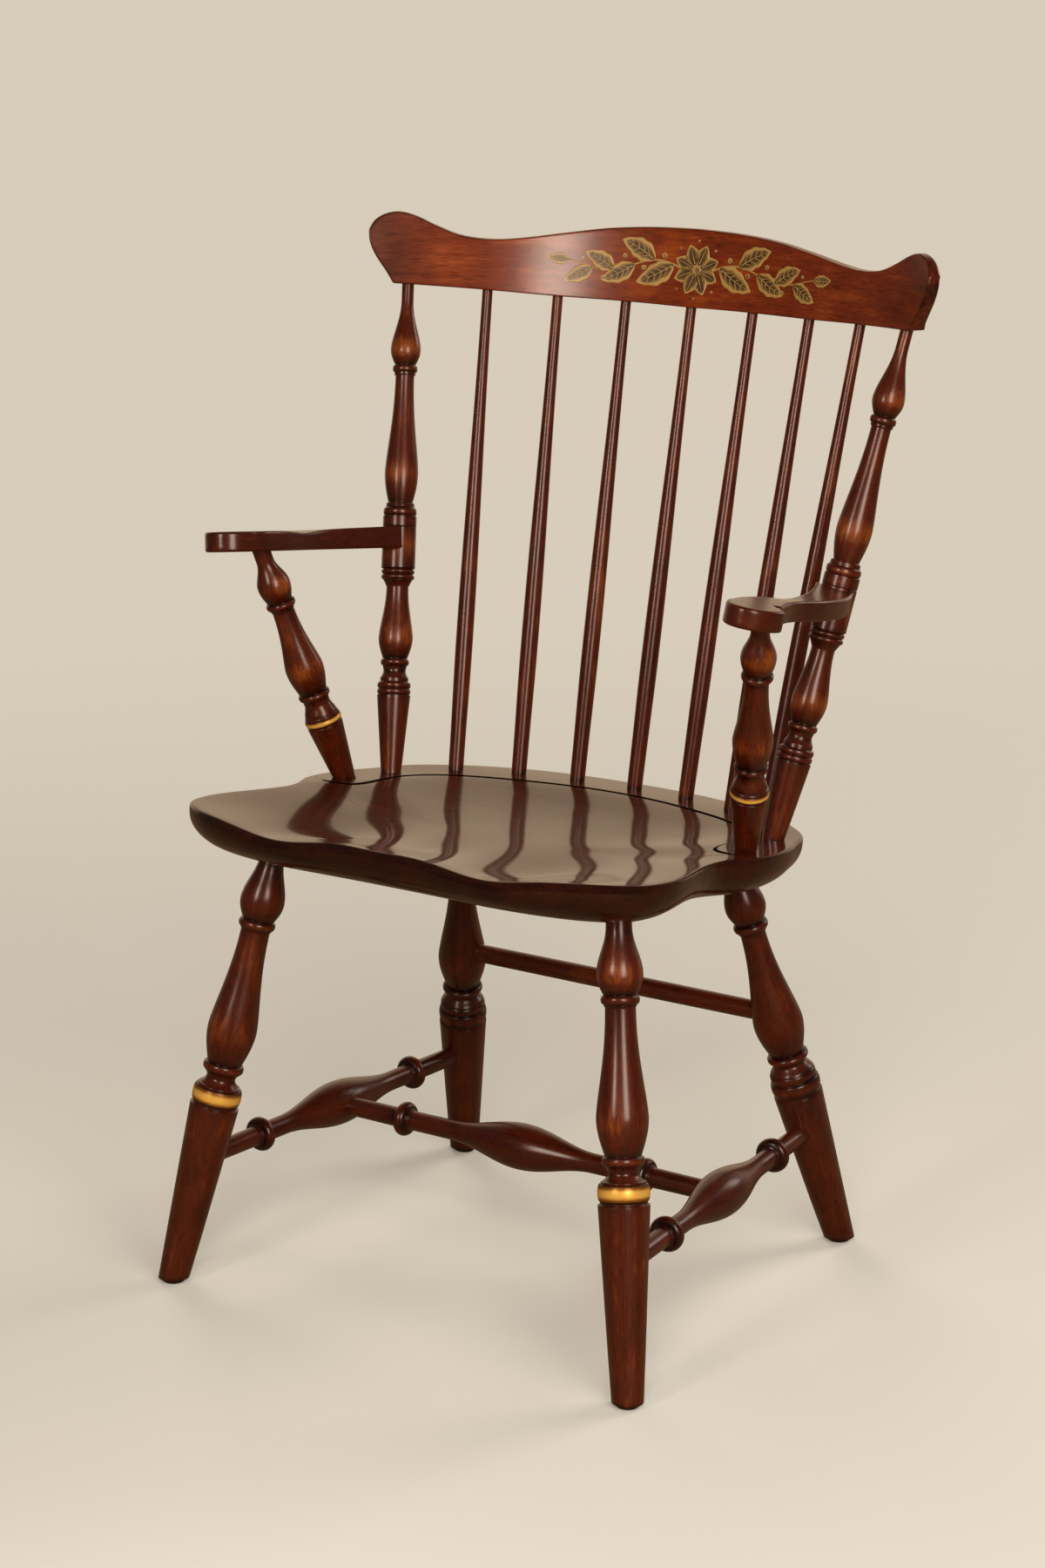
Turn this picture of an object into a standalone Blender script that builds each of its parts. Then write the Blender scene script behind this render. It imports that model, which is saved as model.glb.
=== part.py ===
"""Fan-back windsor armchair: a plank seat that every other piece is socketed into.

Turned legs, stretchers, posts and spindles are round tenons in round mortises. X runs to the
right as one faces the chair, -Y is the front, Z is up and the floor is at zero. "left" and
"right" in the names are the sides as one faces the chair. The chair has no moving pieces.
"""
import math

import bpy
import numpy as np
from mathutils import Vector

MM = 0.001
SIDES = (("left", -1), ("right", 1))

# Fits and facets
GAP = 0.3 * MM
LEG_SIDES = 12
POST_SIDES = 10
SPINDLE_SIDES = 8
COPE_SIDES = 20
CURVE_STEPS = 12
ARM_CURVE_STEPS = 2
SHARP_ANGLE = math.radians(38)

# Cutters: how far each starts outside the piece it cuts, and the sizes of the two that are not mortises
MORTISE_LEAD = 30 * MM
COPE_REACH = 35 * MM
SAW_RADIUS = 40 * MM
SAW_DEPTH = 20 * MM

# Seat plank: a plane through the top that falls towards the back
SEAT_HEIGHT = 422.5 * MM
SEAT_FALL = 0.105
SEAT_TILT = math.atan(SEAT_FALL)
SEAT_THICKNESS = 38 * MM
SEAT_DISH = 13 * MM
SEAT_DISH_POWER = 3.0
SEAT_ARRIS = 3.5 * MM
SEAT_UPRIGHT = 7 * MM
SEAT_UNDERCUT = 42 * MM
SEAT_CENTRE = Vector((0.0, -60 * MM))
SEAT_COLUMNS = 32
SEAT_RINGS = (0.3, 0.55, 0.76, 0.9, 1.0)
UNDERCUT_TURNS = (0, 30, 60, 90)
# Right half of the outline: front middle, corner, waist, ear and back
SEAT_OUTLINE = ((0, -229), (150, -226), (221, -194), (240, -146), (226, -72), (225, -40),
                (238, -4), (239, 34), (229, 76), (202, 131), (112, 190), (0, 207))
# Right half of the line between the deck and the dish: back middle to the edge before the arm post
DECK_LINE = ((0, 151), (45, 147), (89, 136), (131, 121), (164, 101), (182, 74),
             (185, 44), (185, 20), (190, 4), (203, -4), (221, -6), (244, -1))
# The deck curls up a little towards its back edge
DECK_RISE = 2.5 * MM
DECK_RISE_FROM = 80 * MM
DECK_RISE_TO = 170 * MM
# Hollows for the thighs along the front edge, and the pommel between them
HOLLOW_DEPTH = 9.5 * MM
HOLLOW_X = 103 * MM
HOLLOW_WIDTH = 40 * MM
HOLLOW_BACK_Y = -95 * MM
POMMEL_DROP = 2 * MM
POMMEL_WIDTH = 30 * MM

# Vases: how early a long neck falls away from the belly
NECK = 0.72

# Legs: where each axis meets the floor, and how it leans in per unit of height
FRONT_FOOT = Vector((240.5, -209.4, 0)) * MM
FRONT_LEAN = Vector((-0.158, 0.200))
REAR_FOOT = Vector((210.2, 209.4, 0)) * MM
REAR_LEAN = Vector((-0.171, -0.261))
LEG_MAX_RADIUS = 22 * MM
LEG_FOOT_RADIUS = 13 * MM
LEG_TENON_RADIUS = 11 * MM
LEG_TENON = 24 * MM
FRONT_LEG_NECK = 12.2 * MM
REAR_LEG_NECK = 5.9 * MM
GLIDE_HEIGHT = 4 * MM
GLIDE_RADIUS = 10.4 * MM
GLIDE_CHAMFER = 1.2 * MM
NAIL_RADIUS = 1.3 * MM
NAIL_LENGTH = 12 * MM
NAIL_POINT = 2 * MM
BLUNT_POINT_RADIUS = 0.5 * MM

# Stretchers
STRETCHER_Z = 114 * MM
MEDIAL_Y = -4 * MM
REAR_STRETCHER_Z = 228.5 * MM
ROD_RADIUS = 9 * MM
ROD_END_RADIUS = 8.6 * MM
RING_RADIUS = 14 * MM
RING_WIDTH = 12 * MM
SIDE_BULB_RADIUS = 20.3 * MM
MEDIAL_BULB_RADIUS = 21 * MM
BULB_HALF = 76 * MM
SIDE_RING_X = 106 * MM
MEDIAL_RING_X = 129 * MM
TENON_SHY = 2.5 * MM
MEDIAL_SHY = 5 * MM

# Back posts and spindles: where each axis meets the deck, and where it meets the crest rail
POST_BASE = Vector((203.4, 81.0)) * MM
POST_CREST_PLACE = 271.3 * MM
POST_CREST_DEPTH = 6.5 * MM
POST_SHOULDER_DROP = 2.2 * MM
POST_RADIUS = 15.6 * MM
POST_BASE_RADIUS = 9.5 * MM
POST_TOP_RADIUS = 5.6 * MM
POST_CREST_TENON_RADIUS = 4.3 * MM
SPINDLE_CREST_PITCH = 66 * MM
SPINDLE_BASES = ((0, 180.3), (58.5, 174.4), (114.5, 161), (166, 132.5))
SPINDLE_BASE_RADIUS = 6.8 * MM
SPINDLE_RADIUS = 7.7 * MM
SPINDLE_SWELL_HEIGHT = 150 * MM
SPINDLE_MIDDLE_HEIGHT = 297 * MM
SPINDLE_MIDDLE_RADIUS = 6.6 * MM
SPINDLE_TOP_RADIUS = 4.8 * MM
SEAT_TENON = 20 * MM
CREST_TENON = 15 * MM

# Arm posts: on the deck and under the arm
ARM_POST_BASE = Vector((211.4, 19.6)) * MM
ARM_POST_TOP = Vector((256.6, -40.4)) * MM
ARM_POST_RADIUS = 17.4 * MM
ARM_POST_BASE_RADIUS = 9.8 * MM
ARM_POST_TOP_RADIUS = 8 * MM
ARM_TENON = 12 * MM

# Arms: flat boards whose top goes through the datum, falling to the back and outwards
ARM_RISE = 225.6 * MM
ARM_DATUM = Vector((257 * MM, 0, SEAT_HEIGHT + ARM_RISE))
ARM_FALL = 0.154
ARM_CANT = 0.130
ARM_THICKNESS = 18 * MM
ARM_EDGE = 2.5 * MM
ARM_EDGE_LIMIT = 0.4
PADDLE_CENTRE = Vector((267.5, -64)) * MM
PADDLE_HALF_WIDTH = 24 * MM
PADDLE_LENGTH = 31 * MM
PADDLE_TURNS = (8, 24, 42, 62, 82)
# Pairs of inner and outer edge points behind the paddle: the hook, its nick, the neck, the bow, the horns
ARM_HOOK = (((241.5, -55), (284.5, -57)), ((241, -47), (272.5, -46)), ((241, -43), (276.5, -41.5)))
ARM_BODY = (((241, -37), (274.5, -36)), ((241.5, -21), (270, -20)), ((243.5, -4), (266.5, -4)),
            ((246, 14), (266, 14)), ((247, 32), (268, 32)), ((244.5, 52), (269, 52)),
            ((238, 74), (267.5, 76)), ((228, 98), (262, 101)), ((217.5, 121), (246, 138)))
ARM_SCOOP = 2.4 * MM
ARM_SCOOP_Y = 14 * MM
ARM_SCOOP_WIDTH = 24 * MM
ARM_HORN_RISE = 2.2 * MM

# Screw that holds each arm to its post, from a counterbored hole behind the post
SCREW_RADIUS = 2.1 * MM
SCREW_HEAD_RADIUS = 4 * MM
SCREW_HEAD = 2.6 * MM
SCREW_LENGTH = 42 * MM
SCREW_POINT = 5 * MM
COUNTERBORE = 7 * MM
PLUG_RADIUS = 4.6 * MM
PLUG_LENGTH = 4 * MM

# Crest rail: a board bent to a radius, leaning back with the spindles
CREST_RADIUS = 476 * MM
CREST_FRONT_Y = 262 * MM
CREST_RISE = 417.5 * MM
CREST_BASE_Z = SEAT_HEIGHT + CREST_RISE
CREST_LEAN = math.radians(11)
CREST_THICKNESS = 17 * MM
CREST_TAPER = 0.10
CREST_FRONT_EDGE = 1.2 * MM
CREST_BACK_EDGE = 4 * MM
# Half outlines along the bent front: the serpentine top to the ear, and the bottom to the end's corner
CREST_UPPER = ((0, 69.4), (45, 68.2), (88, 64.9), (128, 59), (169, 52.8), (198, 50.8), (226, 53.8),
               (249, 62), (270, 71.4), (286, 75.4), (299, 73.2), (308, 67.2), (312.3, 60.5))
CREST_LOWER = ((0, -1.4), (72, -0.2), (137, 1.1), (207, 4.8), (285, 9.4))
CREST_END = ((285, 9.4), (293, 21), (304, 35.5), (310.5, 48), (312.3, 57))
CREST_COLUMNS = 14
CREST_END_COLUMNS = (0.22, 0.45, 0.68, 0.86, 1.0)


class Turning:
    """Radius along a turned piece, laid out from its lower end upwards."""

    def __init__(self, radius):
        self.points = [(0.0, radius)]

    def length(self):
        return self.points[-1][0]

    def line(self, length, radius):
        """A straight taper, or a step where the length is nothing."""
        self.points.append((self.length() + length, radius))
        return self

    def on_foot(self, length, foot_radius):
        """Puts the turning at the top of a tapered foot that makes up the length."""
        foot = length - self.length()
        self.points = [(0.0, foot_radius)] + [(foot + s, r) for s, r in self.points]
        return self

    def _follow(self, length, steps, shape):
        start, radius = self.points[-1]
        for k in range(1, steps + 1):
            self.points.append((start + length * k / steps, shape(radius, k / steps)))
        return self

    def swell(self, length, radius, steps=3):
        """Rises steeply and levels out, as the foot of a vase does."""
        return self._follow(length, steps, lambda r, t: r + (radius - r) * math.sin(t * math.pi / 2))

    def ease(self, length, radius, steps=4, early=1.0):
        """Leaves level and arrives level; an early power below one makes a long slim neck."""
        def shoulder(r, t):
            return r + (radius - r) * (1 - math.cos(t ** early * math.pi)) / 2
        return self._follow(length, steps, shoulder)

    def bead(self, length, radius, steps=3):
        """A half-round ring that comes back to the radius it left."""
        return self._follow(length, steps, lambda r, t: r + (radius - r) * math.sin(t * math.pi))

    def cove(self, length, waist, radius, steps=4):
        """A hollow down to the waist that comes out at the new radius."""
        def hollow(r, t):
            level = r + (radius - r) * t
            middle = (r + radius) / 2
            return level - (middle - waist) * math.sin(t * math.pi)
        return self._follow(length, steps, hollow)


def smooth_through(knots, steps):
    """Catmull-Rom curve through the knots, with steps points to each stretch."""
    k = np.array(knots, float)
    k = np.vstack([2 * k[0] - k[1], k, 2 * k[-1] - k[-2]])
    t = np.linspace(0, 1, steps, endpoint=False)[:, None]
    pieces = []
    for a, b, c, d in zip(k[:-3], k[1:-2], k[2:-1], k[3:]):
        pieces.append(b + (c - a) * t / 2 + (2 * a - 5 * b + 4 * c - d) * t ** 2 / 2
                      + (3 * b - a - 3 * c + d) * t ** 3 / 2)
    pieces.append(k[-2:-1])
    return np.vstack(pieces)


def new_collection(name):
    collection = bpy.data.collections.new(name)
    bpy.context.scene.collection.children.link(collection)
    return collection


def new_material(name, colour, roughness, metallic=0.0):
    material = bpy.data.materials.new(name)
    material.use_nodes = True
    shader = material.node_tree.nodes["Principled BSDF"]
    shader.inputs["Base Color"].default_value = (*colour, 1.0)
    shader.inputs["Roughness"].default_value = roughness
    shader.inputs["Metallic"].default_value = metallic
    return material


def new_object(name, verts, edges, faces, material=None):
    """A part, or a cutter where no material is given."""
    mesh = bpy.data.meshes.new(name)
    mesh.from_pydata([tuple(v) for v in verts], edges, faces)
    mesh.update()
    obj = bpy.data.objects.new(name, mesh)
    obj.parent = root
    if material:
        mesh.materials.append(material)
        parts.objects.link(obj)
    else:
        cutters.objects.link(obj)
        obj.hide_render = True
        obj.display_type = 'WIRE'
    return obj


def aim(obj, start, end):
    obj.location = start
    obj.rotation_mode = 'QUATERNION'
    obj.rotation_quaternion = (Vector(end) - Vector(start)).to_track_quat('Z', 'Y')


def turned(name, turning, start, end, sides, material=None):
    """A turning with its lower end at start and its axis towards end."""
    outer = [(r, 0.0, s) for s, r in reversed(turning.points)]
    profile = [(0.0, 0.0, outer[0][2])] + outer + [(0.0, 0.0, outer[-1][2])]
    edges = [(i, i + 1) for i in range(len(profile) - 1)]
    obj = new_object(name, profile, edges, [], material)
    aim(obj, start, end)
    screw = obj.modifiers.new("Turn", 'SCREW')
    screw.axis = 'Z'
    screw.steps = sides
    screw.render_steps = sides
    screw.use_merge_vertices = True
    screw.merge_threshold = 0.00005
    screw.use_smooth_shade = True
    return obj


def cut(target, cutter):
    boolean = target.modifiers.new(cutter.name, 'BOOLEAN')
    boolean.operation = 'DIFFERENCE'
    boolean.solver = 'EXACT'
    boolean.object = cutter


def mortise(target, name, start, end, radius, sides):
    """A round hole that clears a tenon of this radius and ends a gap past its end."""
    start, end = Vector(start), Vector(end)
    along = (end - start).normalized()
    bore = Turning((radius + GAP) / math.cos(math.pi / sides))
    bore.line((end - start).length + GAP, bore.points[0][1])
    cut(target, turned(name, bore, start, end + along * GAP, sides))


def mirrored(point, side):
    return Vector((point[0] * side, *point[1:]))


def deck_rise(y):
    """How far the deck curls up above the plank's plane, in a smooth step towards the back."""
    share = np.clip((y - DECK_RISE_FROM) / (DECK_RISE_TO - DECK_RISE_FROM), 0, 1)
    return DECK_RISE * share * share * (3 - 2 * share)


def deck(x, y):
    """The point of the seat's deck above x, y."""
    return Vector((x, y, SEAT_HEIGHT - SEAT_FALL * y + deck_rise(y)))


def leg_point(foot, lean, z):
    return Vector((foot.x + lean.x * z, foot.y + lean.y * z, z))


def underside_height(foot, lean):
    """Height at which a leg's axis meets the flat underside of the plank."""
    drop = SEAT_THICKNESS / math.cos(SEAT_TILT)
    return (SEAT_HEIGHT - drop - SEAT_FALL * foot.y) / (1 + SEAT_FALL * lean.y)


def hollow_depth(x, y):
    """How far the front of the seat lies below the plank's plane: thigh hollows and pommel."""
    reach = np.clip((HOLLOW_BACK_Y - y) / (HOLLOW_BACK_Y - SEAT_OUTLINE[0][1] * MM), 0, 1)
    rise = reach * reach * (3 - 2 * reach)
    thighs = HOLLOW_DEPTH * np.exp(-((np.abs(x) - HOLLOW_X) / HOLLOW_WIDTH) ** 2)
    pommel = POMMEL_DROP * np.exp(-(x / POMMEL_WIDTH) ** 2)
    return (thighs + pommel) * rise


def build_seat(material):
    """Rings of points from the middle of the dish, over the edge, to the middle of the underside."""
    before, after = [[(-x, y)] for x, y in (SEAT_OUTLINE[1], SEAT_OUTLINE[-2])]
    half = smooth_through(before + list(SEAT_OUTLINE) + after, CURVE_STEPS)
    half = half[CURVE_STEPS:-CURVE_STEPS] * MM
    steps = np.hypot(*np.diff(half, axis=0).T)
    walk = np.concatenate([[0], np.cumsum(steps)])
    stops = np.linspace(0, walk[-1], SEAT_COLUMNS + 1)
    right = np.stack([np.interp(stops, walk, half[:, 0]), np.interp(stops, walk, half[:, 1])], 1)
    outline = np.vstack([right, right[-2:0:-1] * (-1, 1)])
    outline[np.abs(outline) < 1e-9] = 0

    centre = np.array(SEAT_CENTRE)
    (x, y) = DECK_LINE[1]
    line = smooth_through([(-x, y)] + list(DECK_LINE), CURVE_STEPS)
    line = line[CURVE_STEPS:] * MM
    bearing = np.arctan2(line[:, 1] - centre[1], line[:, 0])
    reach = np.hypot(line[:, 0], line[:, 1] - centre[1])
    rays = outline - centre
    edge = np.hypot(*rays.T)
    ray_bearing = np.arctan2(rays[:, 1], np.abs(rays[:, 0]))
    within = np.interp(ray_bearing, bearing[::-1], reach[::-1])
    rim = edge - SEAT_ARRIS
    dish = np.where(ray_bearing > bearing.min(), np.minimum(within, rim), rim)

    ahead = np.roll(outline, -1, 0) - np.roll(outline, 1, 0)
    outward = np.stack([ahead[:, 1], -ahead[:, 0]], 1) / np.hypot(*ahead.T)[:, None]

    def top_ring(radius, share):
        p = centre + rays / edge[:, None] * radius[:, None]
        depth = SEAT_DISH * (1 - share ** SEAT_DISH_POWER) + hollow_depth(p[:, 0], p[:, 1])
        return np.column_stack([p, deck_rise(p[:, 1]) - depth])

    rings = [top_ring(dish * share, share) for share in SEAT_RINGS]
    lip = top_ring(edge - SEAT_ARRIS, 1.0)
    rings += [(rings[-1] + lip) / 2, lip]
    edge_top = deck_rise(outline[:, 1]) - hollow_depth(outline[:, 0], outline[:, 1])
    upright_end = edge_top - SEAT_UPRIGHT
    arris = math.radians(45)
    rings.append(np.column_stack([outline - outward * SEAT_ARRIS * (1 - math.sin(arris)),
                                  edge_top - SEAT_ARRIS * (1 - math.cos(arris))]))
    rings.append(np.column_stack([outline, edge_top - SEAT_ARRIS]))
    for turn in UNDERCUT_TURNS:
        inset = SEAT_UNDERCUT * (1 - math.cos(math.radians(turn)))
        down = math.sin(math.radians(turn))
        height = upright_end + (-SEAT_THICKNESS - upright_end) * down
        rings.append(np.column_stack([outline - outward * inset, height]))

    count = len(outline)
    middle = np.array([*centre, -SEAT_DISH])
    under = np.array([*centre, -SEAT_THICKNESS])
    verts = np.vstack([middle[None], *rings, under[None]])
    last = len(verts) - 1
    faces = []
    for i in range(count):
        j = (i + 1) % count
        faces.append((0, 1 + i, 1 + j))
        for k in range(len(rings) - 1):
            a, b = 1 + k * count, 1 + (k + 1) * count
            faces.append((a + i, b + i, b + j, a + j))
        base = 1 + (len(rings) - 1) * count
        faces.append((base + i, last, base + j))
    seat = new_object("seat", verts, [], faces, material)
    seat.location = (0, 0, SEAT_HEIGHT)
    seat.rotation_euler = (-SEAT_TILT, 0, 0)
    seat.data.shade_smooth()
    seat.data.set_sharp_from_angle(angle=SHARP_ANGLE)
    return seat


def front_leg_turning(length):
    # Tapered foot, groove, torus, cove, ring, vase, ring, small vase and tenon
    t = Turning(LEG_MAX_RADIUS).line(1 * MM, 20 * MM).line(2 * MM, 20 * MM)
    t.bead(15 * MM, LEG_MAX_RADIUS, steps=4)
    t.line(2.5 * MM, 19 * MM)
    t.cove(15.5 * MM, 13 * MM, 16.4 * MM)
    t.bead(7.5 * MM, 18.2 * MM)
    t.line(0.5 * MM, 15.6 * MM)
    t.swell(31.5 * MM, LEG_MAX_RADIUS).ease(92 * MM, 12.9 * MM, early=NECK)
    t.line(2 * MM, 13.8 * MM).bead(8 * MM, 16.4 * MM)
    t.line(1 * MM, 14.6 * MM)
    t.swell(16 * MM, 19.6 * MM).ease(40 * MM, LEG_TENON_RADIUS)
    t.line(FRONT_LEG_NECK + LEG_TENON, LEG_TENON_RADIUS)
    return t.on_foot(length, LEG_FOOT_RADIUS)


def rear_leg_turning(length):
    # Tapered foot, groove, bead, shoulder, stem, ring, vase, ring, small vase and tenon
    t = Turning(20.4 * MM).line(1 * MM, 18.6 * MM).line(1.5 * MM, 18.6 * MM)
    t.bead(8 * MM, 20.4 * MM)
    t.line(0.8 * MM, 19.8 * MM)
    t.ease(14.7 * MM, 12.2 * MM)
    t.line(9 * MM, 13 * MM).line(1.5 * MM, 14.4 * MM)
    t.bead(8 * MM, 16.8 * MM)
    t.line(0.5 * MM, 14.6 * MM)
    t.swell(29 * MM, 21.6 * MM).ease(92 * MM, LEG_TENON_RADIUS, early=NECK)
    t.line(2.5 * MM, 12.4 * MM).bead(8 * MM, 15.2 * MM)
    t.line(1 * MM, 13.4 * MM)
    t.swell(15 * MM, 18.2 * MM).ease(34 * MM, LEG_TENON_RADIUS)
    t.line(REAR_LEG_NECK + LEG_TENON, LEG_TENON_RADIUS)
    return t.on_foot(length, LEG_FOOT_RADIUS)


def stretcher_turning(length, ring_place, bulb_radius):
    """Rod, ring, bulb, ring, rod, the same both ways from the middle."""
    half = length / 2
    end_rod = half - ring_place - RING_WIDTH / 2
    inner_rod = half - end_rod - RING_WIDTH - BULB_HALF
    t = Turning(ROD_END_RADIUS).line(end_rod, ROD_RADIUS)
    t.bead(RING_WIDTH, RING_RADIUS).line(inner_rod, ROD_RADIUS)
    t.ease(BULB_HALF, bulb_radius).ease(BULB_HALF, ROD_RADIUS)
    t.line(inner_rod, ROD_RADIUS).bead(RING_WIDTH, RING_RADIUS)
    return t.line(end_rod, ROD_END_RADIUS)


def arm_post_turning(length):
    # Tenon, tapered foot, band between two scored lines, shoulder, ring, vase, ring, small vase and tenon
    t = Turning(ARM_POST_BASE_RADIUS).line(SEAT_TENON, ARM_POST_BASE_RADIUS)
    t.line(50 * MM, 16.5 * MM)
    t.line(0.5 * MM, 15.8 * MM).line(0.5 * MM, 16.6 * MM)
    t.line(9 * MM, 16.7 * MM)
    t.line(0.5 * MM, 15.9 * MM).line(0.5 * MM, 16.6 * MM)
    t.ease(14 * MM, 11.8 * MM)
    t.line(3.5 * MM, 12.4 * MM).bead(7 * MM, 14.5 * MM)
    t.line(0.5 * MM, 13 * MM)
    t.swell(27 * MM, ARM_POST_RADIUS).ease(58 * MM, 10.1 * MM, early=NECK)
    t.line(2.5 * MM, 11 * MM).bead(6.5 * MM, 13.6 * MM)
    t.line(0.5 * MM, 11.6 * MM)
    t.swell(15 * MM, 15.1 * MM).ease(24 * MM, ARM_POST_TOP_RADIUS)
    return t.line(length - t.length(), ARM_POST_TOP_RADIUS)


def back_post_turning(length):
    # Tenon, tapered foot, two beads, cove, ring, vase, ring, plain drum for the arm,
    # groove, bead, vase, ring, small vase and the tenon in the crest
    t = Turning(POST_BASE_RADIUS).line(SEAT_TENON, POST_BASE_RADIUS)
    t.line(70.5 * MM, 15.4 * MM)
    t.line(0.8 * MM, 14 * MM)
    t.bead(5.6 * MM, 15.4 * MM).bead(5.6 * MM, 15.4 * MM)
    t.line(0.5 * MM, 13 * MM).line(3.5 * MM, 13 * MM)
    t.cove(11.5 * MM, 10.4 * MM, 11.4 * MM)
    t.bead(6 * MM, 13.1 * MM)
    t.line(0.5 * MM, 11.4 * MM)
    t.swell(19.5 * MM, POST_RADIUS).ease(47 * MM, 10.2 * MM)
    t.line(5 * MM, 12.6 * MM).line(1.5 * MM, 13 * MM)
    t.bead(10 * MM, 15.3 * MM)
    t.line(1 * MM, POST_RADIUS).line(47.5 * MM, POST_RADIUS)
    t.line(0.8 * MM, 14 * MM).bead(7 * MM, 15.4 * MM)
    t.line(0.5 * MM, 13.3 * MM).line(4 * MM, 13 * MM)
    t.line(0.8 * MM, 11.2 * MM)
    t.swell(28 * MM, POST_RADIUS).ease(90 * MM, 8.7 * MM, early=NECK)
    t.line(1 * MM, 9.8 * MM).line(2.5 * MM, 9.8 * MM)
    t.bead(6.5 * MM, 11.5 * MM)
    t.line(0.5 * MM, 9.6 * MM)
    t.swell(14 * MM, 14 * MM).ease(46 * MM, POST_TOP_RADIUS)
    t.line(length - t.length() - CREST_TENON, POST_TOP_RADIUS)
    return t.line(0, POST_CREST_TENON_RADIUS).line(CREST_TENON, POST_CREST_TENON_RADIUS)


def spindle_turning(length):
    # Tenon, slow swell, two tapers and tenon
    t = Turning(SPINDLE_BASE_RADIUS).line(SEAT_TENON, SPINDLE_BASE_RADIUS)
    t.ease(SPINDLE_SWELL_HEIGHT, SPINDLE_RADIUS, steps=2)
    t.line(SPINDLE_MIDDLE_HEIGHT - SPINDLE_SWELL_HEIGHT, SPINDLE_MIDDLE_RADIUS)
    t.line(length - CREST_TENON - t.length(), SPINDLE_TOP_RADIUS)
    return t.line(CREST_TENON, SPINDLE_TOP_RADIUS)


def crest_point(s, h, depth):
    """s along the bent front, h up the leaning face, depth back from the front."""
    turn = s / CREST_RADIUS
    radius = CREST_RADIUS + depth
    return Vector((radius * math.sin(turn),
                   CREST_FRONT_Y - CREST_RADIUS + radius * math.cos(turn) + h * math.sin(CREST_LEAN),
                   CREST_BASE_Z + h * math.cos(CREST_LEAN)))


def crest_socket(s, depth):
    """Where a post or spindle meets the crest's lower edge."""
    low = np.interp(abs(s), *np.array(CREST_LOWER).T * MM)
    return crest_point(s, low, depth)


def build_crest(material):
    """Sections across the board, thinner at the top and eased at the edges, lofted along the bend."""
    upper = smooth_through(CREST_UPPER, CURVE_STEPS) * MM
    end = smooth_through(CREST_END, CURVE_STEPS)
    lower = np.vstack([smooth_through(CREST_LOWER, CURVE_STEPS), end[1:]]) * MM
    corner = CREST_LOWER[-1][0] * MM
    tip = CREST_END[-1][0] * MM
    half = list(np.linspace(0, corner, CREST_COLUMNS))
    half += [corner + (tip - corner) * share for share in CREST_END_COLUMNS]
    columns = [-s for s in half[:0:-1]] + half
    verts = []
    for s in columns:
        low = np.interp(abs(s), lower[:, 0], lower[:, 1])
        high = np.interp(abs(s), upper[:, 0], upper[:, 1])
        at_tip = abs(s) > tip - CREST_FRONT_EDGE
        inset = CREST_FRONT_EDGE if at_tip else 0
        ease = min(CREST_BACK_EDGE, (high - low) / 3)
        front = inset
        middle = (low + high) / 2

        def back(h):
            return CREST_THICKNESS - CREST_TAPER * max(h, 0) - inset
        section = [(low, front + CREST_FRONT_EDGE), (low + CREST_FRONT_EDGE, front), (middle, front),
                   (high - CREST_FRONT_EDGE, front), (high, front + CREST_FRONT_EDGE),
                   (high, back(high) - ease / 2), (high - ease, back(high - ease)), (middle, back(middle)),
                   (low + ease, back(low + ease)), (low, back(low) - ease / 2)]
        verts += [crest_point(s, h, d) for h, d in section]
    ring = len(section)
    faces = [tuple(range(ring)), tuple(range(len(verts) - 1, len(verts) - ring - 1, -1))]
    for c in range(len(columns) - 1):
        for k in range(ring):
            a, b = c * ring + k, c * ring + (k + 1) % ring
            faces.append((a, a + ring, b + ring, b))
    crest = new_object("crest_rail", verts, [], faces, material)
    crest.data.shade_smooth()
    crest.data.set_sharp_from_angle(angle=SHARP_ANGLE)
    return crest


def arm_stations():
    """Inner and outer edge points of the right arm from the front of the paddle to the horns."""
    pairs = []
    for turn in PADDLE_TURNS:
        a = math.radians(turn)
        across = PADDLE_HALF_WIDTH * math.sin(a)
        along = PADDLE_CENTRE.y - PADDLE_LENGTH * math.cos(a)
        pairs.append((PADDLE_CENTRE.x - across, along, PADDLE_CENTRE.x + across, along))
    pairs += [(a[0] * MM, a[1] * MM, b[0] * MM, b[1] * MM) for a, b in ARM_HOOK]
    body = smooth_through([(*a, *b) for a, b in ARM_BODY], ARM_CURVE_STEPS) * MM
    return np.array(pairs + [tuple(p) for p in body])


def arm_top(x, y):
    """The point of the right arm's flat top above x, y."""
    fall = ARM_FALL * (y - ARM_DATUM.y) + ARM_CANT * (x - ARM_DATUM.x)
    return Vector((x, y, ARM_DATUM.z - fall))


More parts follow.
